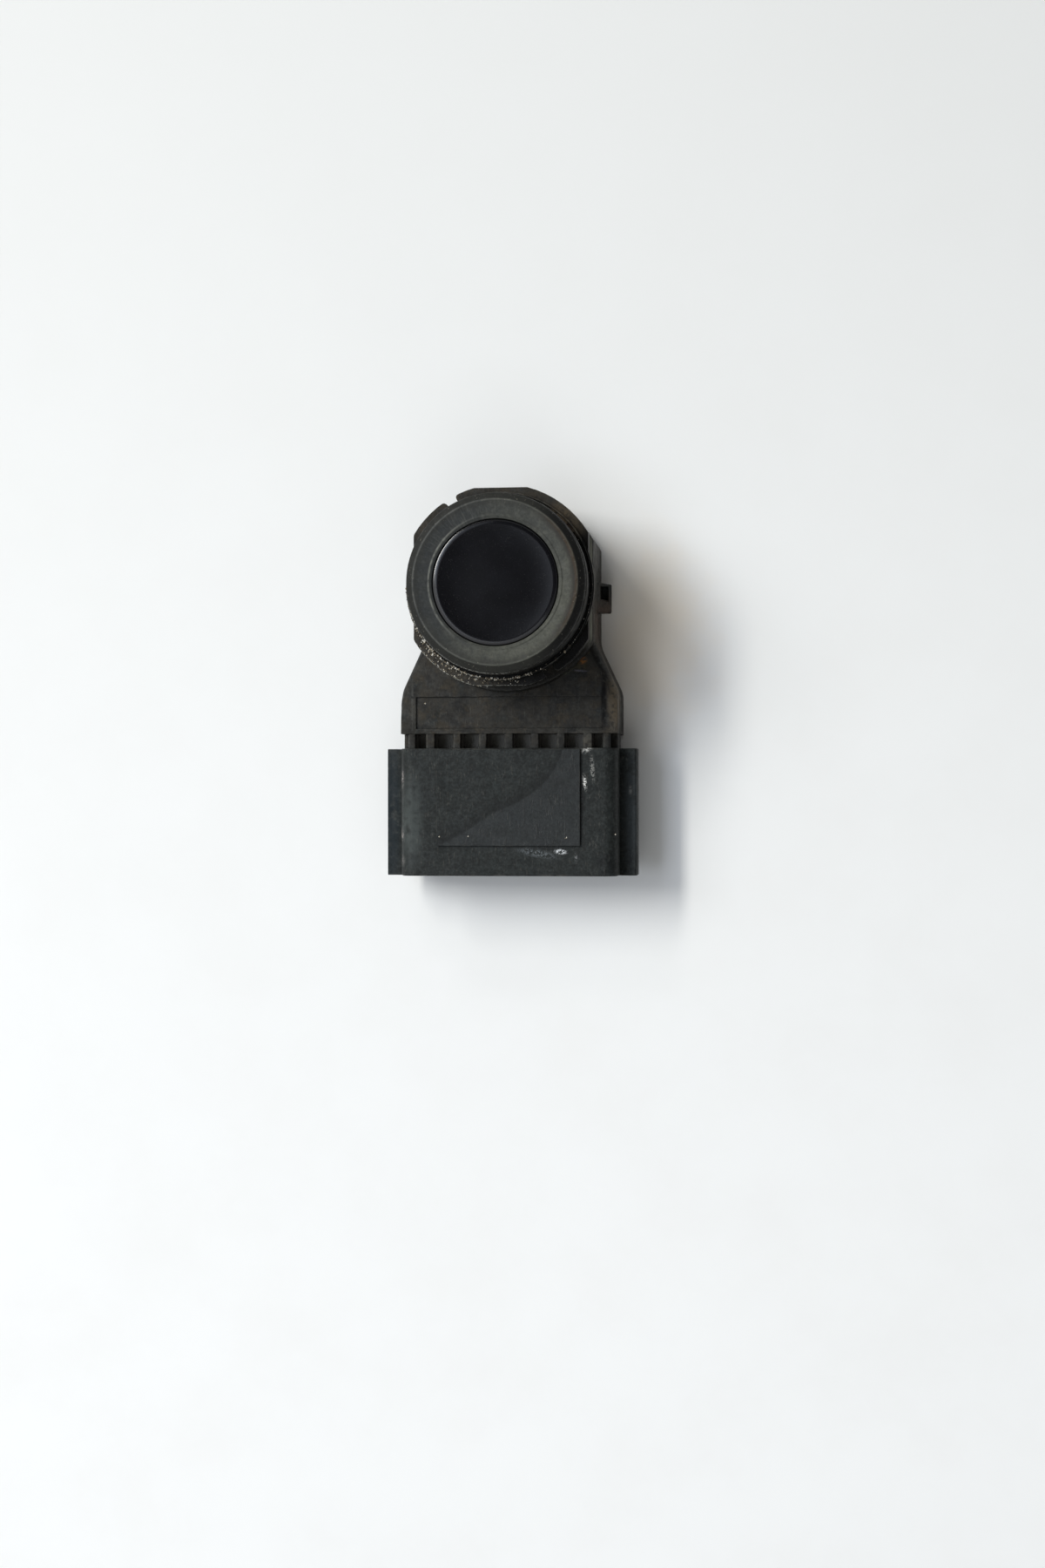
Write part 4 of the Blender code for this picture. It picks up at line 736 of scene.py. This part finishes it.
def makeSilicone():
    look = softRing
    shares = look["shares"]
    material, tree, shader, at = startMaterial("mouldedLiquidSilicone")
    parts = addNode(tree, "ShaderNodeSeparateXYZ", {0: at}).outputs
    radius = polar(tree, at)
    angle = addNode(tree, "ShaderNodeMath", {0: parts[1], 1: parts[0]}, operation="ARCTAN2").outputs[0]

    def pattern(name):
        return blotches(tree, at, *look["patterns"][name])

    def side(name):
        return towards(tree, at, *look["sides"][name])

    def band(name, first=radius):
        limits = look["bands"][name]
        return times(
            tree, between(tree, first, *limits[0]), *(between(tree, radius, *more) for more in limits[1:]),
        )

    colour = coat(tree, linear(look["base"]), look["bloom"], pattern("bloom"))
    # painted light and shade: the face is lighter and warmer towards the lower right, which faces the light,
    # and darker and cooler on the left
    for name in ("warm", "coolShade"):
        colour = coat(tree, colour, look[name], side(name), shares[name])
    colour = coat(tree, colour, look["speckle"], pattern("speckle"), shares["speckle"])

    # fine radial rub marks on the upper left of the face
    spokes = addNode(
        tree, "ShaderNodeCombineXYZ",
        {0: times(tree, angle, look["spokes"]), 1: times(tree, radius, look["spokeBreak"]), 2: 0.0},
    )
    rubs = blotches(tree, spokes.outputs[0], *look["rubs"])
    colour = coat(tree, colour, look["streak"], rubs, side("streak"), shares["streak"])

    # a film of road dirt inside the crest, brown on the right, and a dark outer slope, with painted shade
    # that makes it almost black on the right, away from the light
    wander = added(tree, radius, look["unevenness"], pattern("uneven"))
    colour = coat(tree, colour, look["film"], band("film", wander), shares["film"])
    colour = coat(tree, colour, look["brown"], band("brown", wander), side("brown"), shares["brown"])
    colour = coat(tree, colour, look["stain"], band("stain"), side("stain"), shares["stain"])
    colour = coat(tree, colour, look["slope"], band("slope"), shares["slope"])
    colour = coat(tree, colour, look["paintedShade"], band("paintedShade"), side("paintedShade"), shares["paintedShade"])

    # a worn line on the crest, and on the inner lip's left side a painted highlight where the light falls
    # from the left
    lines = {0: times(tree, band("crest"), shares["crest"]), 1: times(tree, band("lip"), side("lip"))}
    worn = addNode(tree, "ShaderNodeMath", lines, operation="MAXIMUM").outputs[0]
    colour = coat(tree, colour, look["worn"], worn, pattern("worn"), shares["worn"])
    colour = coat(tree, colour, look["crumb"], pattern("crumb"), band("crumb"), shares["crumb"])

    low, high = look["roughness"]
    rough = addNode(tree, "ShaderNodeMapRange", {0: pattern("gloss"), 3: low, 4: high}).outputs[0]
    shader.inputs["IOR"].default_value = look["ior"]
    shader.inputs["Specular IOR Level"].default_value = look["specular"]
    skin = addNode(tree, "ShaderNodeTexNoise", {"Vector": at, "Scale": 1 / look["skinSize"], "Detail": 3.0})
    height = added(tree, skin.outputs[0], look["rubRelief"], rubs)
    wire(tree, shader, colour, rough, height, look["reliefStrength"], look["reliefDepth"])
    return material


def makeSoftRing():
    s = softRing
    corners = [
        (s["bore"], s["innerTop"] - 0.06, 0.05),
        (s["bore"] + 0.2, s["innerTop"] + 0.02, 0.08),
        (s["bore"] + 0.34, s["innerTop"] + 0.09, 0.08),
        (s["bore"] + 0.48, s["innerTop"] + 0.03, 0.08),
        (s["crest"] - 0.55, s["top"] - 0.08, 0.3),
        (s["crest"], s["top"], 0.16),
        (s["crest"] + 0.3, s["top"] - 0.22, 0.2),
        (s["outer"] - 0.04, s["shoulder"], 0.2),
        (s["outer"], s["skirtFoot"], 0.08),
        (s["sleeve"], s["skirtFoot"], 0.0),
    ]
    lip = (s["skirtFoot"] - s["sleeveFoot"]) / (2 * s["lips"] + 1)
    for i in range(s["lips"]):
        upper = s["skirtFoot"] - (2 * i + 1) * lip
        corners += [
            (s["sleeve"], upper, 0.1), (s["sleeve"] - s["lipDepth"], upper - 0.1, 0.1),
            (s["sleeve"] - s["lipDepth"], upper - lip + 0.1, 0.1), (s["sleeve"], upper - lip, 0.1),
        ]
    corners += [(s["sleeve"], s["sleeveFoot"], 0.1), (s["bore"], s["sleeveFoot"], 0.1)]
    return turnPiece("soft_ring", corners, s["cornerSteps"], makeSilicone(), Waviness=s["waviness"] * mm)


# Membrane pot: impact drawn aluminium under black stoved lacquer, its floor very slightly dished. To
# the eye it is a smooth, deep black that mirrors the room softly.
membrane = {
    "radius": 7.0, "flange": 7.7, "inner": 6.0, "top": 22.2, "rear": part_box("membrane_pot")[0].z / mm,
    "floor": 0.8, "flangeThickness": 1.0, "dish": 0.095, "dishPower": 4.0, "dishRings": 20,
    "rim": 0.24, "rimDrop": 0.05, "cornerSteps": 6,
    "base": "#0b0b0d", "haze": "#0e0e11", "hazePattern": (2.6, 0.3, 0.8, 5.0),
    "dust": "#4a4a46", "dustPattern": (0.13, 0.68, 0.74, 1.0), "dustShare": 0.25,
    "roughness": (0.115, 0.13),
    # the rim's lower side is dull with road film
    "filmBand": (6.5, 6.75), "filmSide": (-0.35, -0.94, 0.5, 3.0), "filmRoughness": 0.5,
    "peelSize": 0.2, "peelStrength": 0.1, "peelDepth": 0.003,
}


def makeLacquer():
    look = membrane
    material, tree, shader, at = startMaterial("blackStovedLacquer")
    haze = blotches(tree, at, *look["hazePattern"])
    colour = coat(tree, linear(look["base"]), look["haze"], haze)
    colour = coat(tree, colour, look["dust"], blotches(tree, at, *look["dustPattern"]), look["dustShare"])
    low, high = look["roughness"]
    rough = addNode(tree, "ShaderNodeMapRange", {0: haze, 3: low, 4: high}).outputs[0]
    onRim = between(tree, polar(tree, at), *look["filmBand"])
    filmed = times(tree, onRim, towards(tree, at, *look["filmSide"]))
    dulled = added(tree, rough, look["filmRoughness"], filmed)
    peel = addNode(tree, "ShaderNodeTexNoise", {"Vector": at, "Scale": 1 / look["peelSize"], "Detail": 2.0})
    wire(tree, shader, colour, dulled, peel.outputs[0], look["peelStrength"], look["peelDepth"])
    return material


def makeMembrane():
    s = membrane
    edge = s["radius"] - s["rim"]
    corners = []
    for i in range(s["dishRings"] + 1):
        share = i / s["dishRings"]
        corners.append((edge * share, s["top"] - s["dish"] * (1 - share ** s["dishPower"]), 0.0))
    corners += [
        (s["radius"] - 0.06, s["top"] - s["rimDrop"], 0.03),
        (s["radius"], s["top"] - s["rimDrop"] - 0.1, 0.06),
        (s["radius"], s["rear"] + s["flangeThickness"], 0.0),
        (s["flange"], s["rear"] + s["flangeThickness"], 0.05),
        (s["flange"], s["rear"], 0.05),
        (s["inner"], s["rear"], 0.05),
        (s["inner"], s["top"] - s["floor"] - s["dish"], 0.1),
        (0.0, s["top"] - s["floor"] - s["dish"], 0.0),
    ]
    return turnPiece("membrane", corners, s["cornerSteps"], makeLacquer())


turnedTree = makeTurnedTree()
ring = makeSoftRing()
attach(ring, "root")
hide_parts("decoupling_ring")
pot = makeMembrane()
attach(pot, "root")
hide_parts("membrane_pot")
print("ring and membrane turned")

# Grit beds round the barrel: middle angle and spread in degrees, inner and outer radius, height,
# grains, grain size, and how far from the middle they may lie across
gritBeds = {
    "grit_flange": (242.0, 64.0, 10.42, 10.64, 18.33, 190, 0.12, 20.0),
    "grit_lug": (236.0, 50.0, 10.7, 11.1, 17.24, 110, 0.1, 9.8),
    "grit_rim": (236.0, 22.0, 11.35, 11.52, 17.2, 60, 0.08, 9.8),
    "grit_right": (325.0, 60.0, 10.2, 10.6, 18.32, 45, 0.05, 20.0),
    "grit_crest": (262.0, 90.0, 9.85, 10.06, 21.75, 70, 0.045, 20.0),
}

# Pale crumbs of road salt: across, along and height, and their size
crumbs = {
    "crumb_deck": (-9.84, -12.81, 9.72, 0.13),
    "crumb_pad_left": (-8.0, -28.33, 10.87, 0.11),
    "crumb_pad": (-4.63, -28.32, 10.87, 0.09),
    "crumb_pad_right": (6.75, -28.51, 10.87, 0.09),
    "crumb_corner": (12.36, -28.11, 9.92, 0.11),
}


# How a crumb gathers its grains: their number, their spread in radians and in millimetres
crumbPile = {"grains": 6, "spread": 0.0035, "halfWidth": 0.04, "reach": 20}

# Road grit: crushed stone and salt, dull, from brown to almost white
gritLook = {
    "first": "#2a251e", "last": "#f4f1e6", "between": ((0.3, "#5a4f3f"), (0.6, "#a59a84"), (0.8, "#d8d2c2")),
    "grain": "#2b2722", "grainPattern": (0.05, 0.4, 0.6), "grainShare": 0.4, "roughness": 0.85,
}


def makeGritMaterial():
    look = gritLook
    material, tree, shader, at = startMaterial("roadGrit")
    tone = addNode(tree, "ShaderNodeAttribute", attribute_name="tone")
    ramp = addNode(tree, "ShaderNodeValToRGB", {0: tone.outputs["Fac"]})
    stops = ramp.color_ramp
    stops.interpolation = "LINEAR"
    stops.elements[0].color = linear(look["first"])
    stops.elements[1].color = linear(look["last"])
    for place, tint in look["between"]:
        stops.elements.new(place).color = linear(tint)
    grain = blotches(tree, at, *look["grainPattern"])
    colour = coat(tree, ramp.outputs[0], look["grain"], grain, look["grainShare"])
    tree.links.new(colour, shader.inputs["Base Color"])
    shader.inputs["Roughness"].default_value = look["roughness"]
    return material


def makeGritTree():
    values = {
        "Angle": 0.0, "Spread": 1.0, "Inner": 0.01, "Outer": 0.011, "Height": 0.0, "Count": 100,
        "Size": 0.0001, "Seed": 1, "Reach": 0.0098, "Material": gritMaterial,
    }
    tree, given, result = startTree("gritBed", values)

    def chance(low, high, offset):
        # a random number for each grain, from its own part of the seed's sequence
        seed = addNode(tree, "ShaderNodeMath", {0: given["Seed"], 1: float(offset)}, operation="ADD")
        return addNode(
            tree, "FunctionNodeRandomValue", {2: low, 3: high, "Seed": seed.outputs[0]}, data_type="FLOAT",
        ).outputs[1]

    # three draws added up gather the grains about the middle angle
    lean = chance(-0.5, 0.5, 11)
    for offset in (12, 13):
        more = chance(-0.5, 0.5, offset)
        lean = addNode(tree, "ShaderNodeMath", {0: lean, 1: more}, operation="ADD").outputs[0]
    angle = added(tree, given["Angle"], given["Spread"], lean)
    radius = addNode(
        tree, "ShaderNodeMapRange", {0: chance(0.0, 1.0, 14), 3: given["Inner"], 4: given["Outer"]},
    ).outputs[0]
    cosine = addNode(tree, "ShaderNodeMath", {0: angle}, operation="COSINE").outputs[0]
    sine = addNode(tree, "ShaderNodeMath", {0: angle}, operation="SINE").outputs[0]
    place = addNode(
        tree, "ShaderNodeCombineXYZ",
        {0: times(tree, radius, cosine), 1: times(tree, radius, sine), 2: given["Height"]},
    )
    points = addNode(tree, "GeometryNodePoints", {"Count": given["Count"], "Position": place.outputs[0]})
    across = addNode(
        tree, "ShaderNodeSeparateXYZ", {0: addNode(tree, "GeometryNodeInputPosition").outputs[0]},
    ).outputs[0]
    width = addNode(tree, "ShaderNodeMath", {0: across}, operation="ABSOLUTE").outputs[0]
    beyond = addNode(tree, "FunctionNodeCompare", {0: width, 1: given["Reach"]}, operation="GREATER_THAN")
    points = addNode(
        tree, "GeometryNodeDeleteGeometry", {0: points.outputs[0], "Selection": beyond.outputs[0]},
        domain="POINT",
    )
    grain = addNode(tree, "GeometryNodeMeshIcoSphere", {"Radius": given["Size"], "Subdivisions": 1})
    turn = addNode(
        tree, "FunctionNodeRandomValue", {0: (0.0, 0.0, 0.0), 1: (6.28, 6.28, 6.28), "Seed": 21},
        data_type="FLOAT_VECTOR",
    )
    shape = addNode(
        tree, "FunctionNodeRandomValue", {0: (0.45, 0.45, 0.35), 1: (1.5, 1.2, 0.8), "Seed": 22},
        data_type="FLOAT_VECTOR",
    )
    placed = addNode(
        tree, "GeometryNodeInstanceOnPoints",
        {
            "Points": points.outputs[0], "Instance": grain.outputs[0],
            "Rotation": turn.outputs[0], "Scale": shape.outputs[0],
        },
    )
    toned = addNode(
        tree, "GeometryNodeStoreNamedAttribute",
        {"Geometry": placed.outputs[0], "Name": "tone", "Value": chance(0.0, 1.0, 15)},
        data_type="FLOAT", domain="INSTANCE",
    )
    endTree(tree, given, toned.outputs[0], result)
    return tree


def scatterGrit(name, seed, angle, spread, inner, outer, height, count, size, reach):
    # one bed of grit; the angles in radians here
    values = {
        "Angle": angle, "Spread": spread, "Inner": inner * mm, "Outer": outer * mm, "Height": height * mm,
        "Count": count, "Size": size * mm, "Seed": seed, "Reach": reach * mm, "Material": gritMaterial,
    }
    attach(grow(name, gritTree, values), "root")


gritMaterial = makeGritMaterial()
gritTree = makeGritTree()
for number, (bedName, (angle, spread, *bed)) in enumerate(gritBeds.items()):
    scatterGrit(bedName, 40 + 7 * number, math.radians(angle), math.radians(spread), *bed)
for number, (crumbName, (x, y, z, size)) in enumerate(crumbs.items()):
    distance, half = math.hypot(x, y), crumbPile["halfWidth"]
    scatterGrit(
        crumbName, 90 + number, math.atan2(y, x), crumbPile["spread"], distance - half, distance + half, z,
        crumbPile["grains"], size, crumbPile["reach"],
    )
print("grit scattered")


def makePlainMaterial(name, base, other, patch, roughness, metallic, grain, bumpDepth):
    # a material of two mottled tones with a fine relief, for the pieces inside and at the rear
    material, tree, shader, at = startMaterial(name)
    mottle = blotches(tree, at, patch, 0.35, 0.7)
    colour = coat(tree, linear(base), other, mottle)
    rough = addNode(
        tree, "ShaderNodeMapRange", {0: mottle, 3: roughness * 0.85, 4: min(1.0, roughness * 1.15)},
    ).outputs[0]
    shader.inputs["Metallic"].default_value = metallic
    fine = addNode(tree, "ShaderNodeTexNoise", {"Vector": at, "Scale": 1 / grain, "Detail": 2.0})
    wire(tree, shader, colour, rough, fine.outputs[0], 0.3, bumpDepth)
    return material


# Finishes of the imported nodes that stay: tones, patch size, roughness, metallic, grain, relief
finishes = {
    "housing_nylon": ("mouldedNylon", "#1f201f", "#2b2c2b", 3.0, 0.55, 0.0, 0.2, 0.01),
    "cover_nylon": ("sparkTexturedNylon", "#1c1d1d", "#29292a", 2.0, 0.6, 0.0, 0.25, 0.02),
    "silicone": ("greySilicone", "#3b3d3a", "#4c4d49", 1.5, 0.55, 0.0, 0.3, 0.01),
    "membrane_lacquer": ("blackLacquer", "#0b0b0d", "#15161a", 2.0, 0.2, 0.0, 0.4, 0.005),
    "piezo_ceramic": ("firedPiezoCeramic", "#cfc8b4", "#bdb59e", 0.8, 0.5, 0.0, 0.1, 0.005),
    "absorber_foam": ("feltedPolyesterFoam", "#6f7072", "#8a8a8b", 0.5, 0.95, 0.0, 0.12, 0.06),
    "carrier_plastic": ("naturalNylon", "#d3c9a6", "#c4b88f", 1.2, 0.45, 0.0, 0.2, 0.008),
    "tinned_contact": ("tinPlatedBronze", "#cfcdc6", "#aaa79d", 0.7, 0.32, 1.0, 0.15, 0.004),
    "copper_wire": ("enamelledCopper", "#b8683a", "#93461f", 0.3, 0.3, 1.0, 0.1, 0.01),
    "board_laminate": ("greenSolderResist", "#1c5a35", "#174a2c", 1.5, 0.35, 0.0, 0.15, 0.006),
    "ferrite": ("firedFerrite", "#37373a", "#2a2a2d", 0.4, 0.6, 0.0, 0.1, 0.015),
    "component_epoxy": ("mouldedEpoxy", "#202022", "#2b2b2d", 0.5, 0.5, 0.0, 0.1, 0.008),
    "can_aluminium": ("drawnAluminium", "#c9cbce", "#b4b7bb", 0.6, 0.28, 1.0, 0.12, 0.004),
}

slotOf = {part["node"]: part["material_slot"] for part in frame["record"]["subparts"]}
shownMaterials = {slot: makePlainMaterial(*values) for slot, values in finishes.items()}
for nodeName, node in nodes.items():
    node.data.materials.clear()
    node.data.materials.append(shownMaterials[slotOf[nodeName]])

# The lid and the terminals, with their edges rounded: node, wide and narrow rounding
roundedParts = {
    "lid_shell": ("rear_cover", 0.15, 0.05),
    "supply_blade": ("supply_terminal", 0.06, 0.03),
    "signal_blade": ("signal_terminal", 0.06, 0.03),
    "ground_blade": ("ground_terminal", 0.06, 0.03),
}
for partName, (nodeName, wide, narrow) in roundedParts.items():
    rounded = makeRoundedCopy(
        nodeName, partName, wide, narrow, housingLook["edgeSteps"], housingLook["sharpAngle"],
    )
    rounded.data.materials.append(shownMaterials[slotOf[nodeName]])
    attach(rounded, "root")
    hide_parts(nodeName)
print("packed nodes finished")

# Floor: plain pale card, matt, with painted shade that makes it a little darker away from the lens, and a
# painted warm tint in the sensor's shadow.
# The dark cards are black felt, which gives back almost no light.
floor = {
    "size": 3000.0, "base": "#fafbf9", "roughness": 0.75,
    "tint": "#f4f4f1", "tintPattern": (14.0, 0.3, 0.8, 5.0), "tintShare": 0.5,
    # painted shade: the floor is painted darker away from the lens
    "shade": "#dfe0dd", "shadeLimits": (-130.0, 150.0),
    # painted light: a warm tint in the sensor's shadow, for light thrown back from the sensor's brown sides
    "warm": "#f2e6d2", "bounceTintSpot": ((15.5, -5.0, 0.0), (11.0, 16.0, 1.0), 0, 0.2, 4.0, 0.1), "bounceTintShare": 0.8,
    "felt": "#101010", "feltRoughness": 0.9,
}
floorMesh = bpy.data.meshes.new("floor")
reach = floor["size"] / 2 * mm
floorMesh.from_pydata(
    [(-reach, -reach, 0), (reach, -reach, 0), (reach, reach, 0), (-reach, reach, 0)], [], [(0, 1, 2, 3)],
)
floorObject = bpy.data.objects.new("floor", floorMesh)
collection.objects.link(floorObject)
floorMaterial, floorTree, floorShader, floorAt = startMaterial("paleCard")
mottle = blotches(floorTree, floorAt, *floor["tintPattern"])
floorColour = coat(floorTree, linear(floor["base"]), floor["tint"], mottle, floor["tintShare"])
along = addNode(floorTree, "ShaderNodeSeparateXYZ", {0: floorAt}).outputs[1]
floorColour = coat(floorTree, floorColour, floor["shade"], between(floorTree, along, *floor["shadeLimits"]))
warm = spot(floorTree, floorAt, *floor["bounceTintSpot"])
floorColour = coat(floorTree, floorColour, floor["warm"], warm, floor["bounceTintShare"])
floorTree.links.new(floorColour, floorShader.inputs["Base Color"])
floorShader.inputs["Roughness"].default_value = floor["roughness"]
floorMesh.materials.append(floorMaterial)
feltMaterial, *_, feltShader, _ = startMaterial("blackFeltCard")
feltShader.inputs["Base Color"].default_value = linear(floor["felt"])
feltShader.inputs["Roughness"].default_value = floor["feltRoughness"]
for cardObject in cardObjects:
    cardObject.data.materials.append(feltMaterial)
print("floor laid")
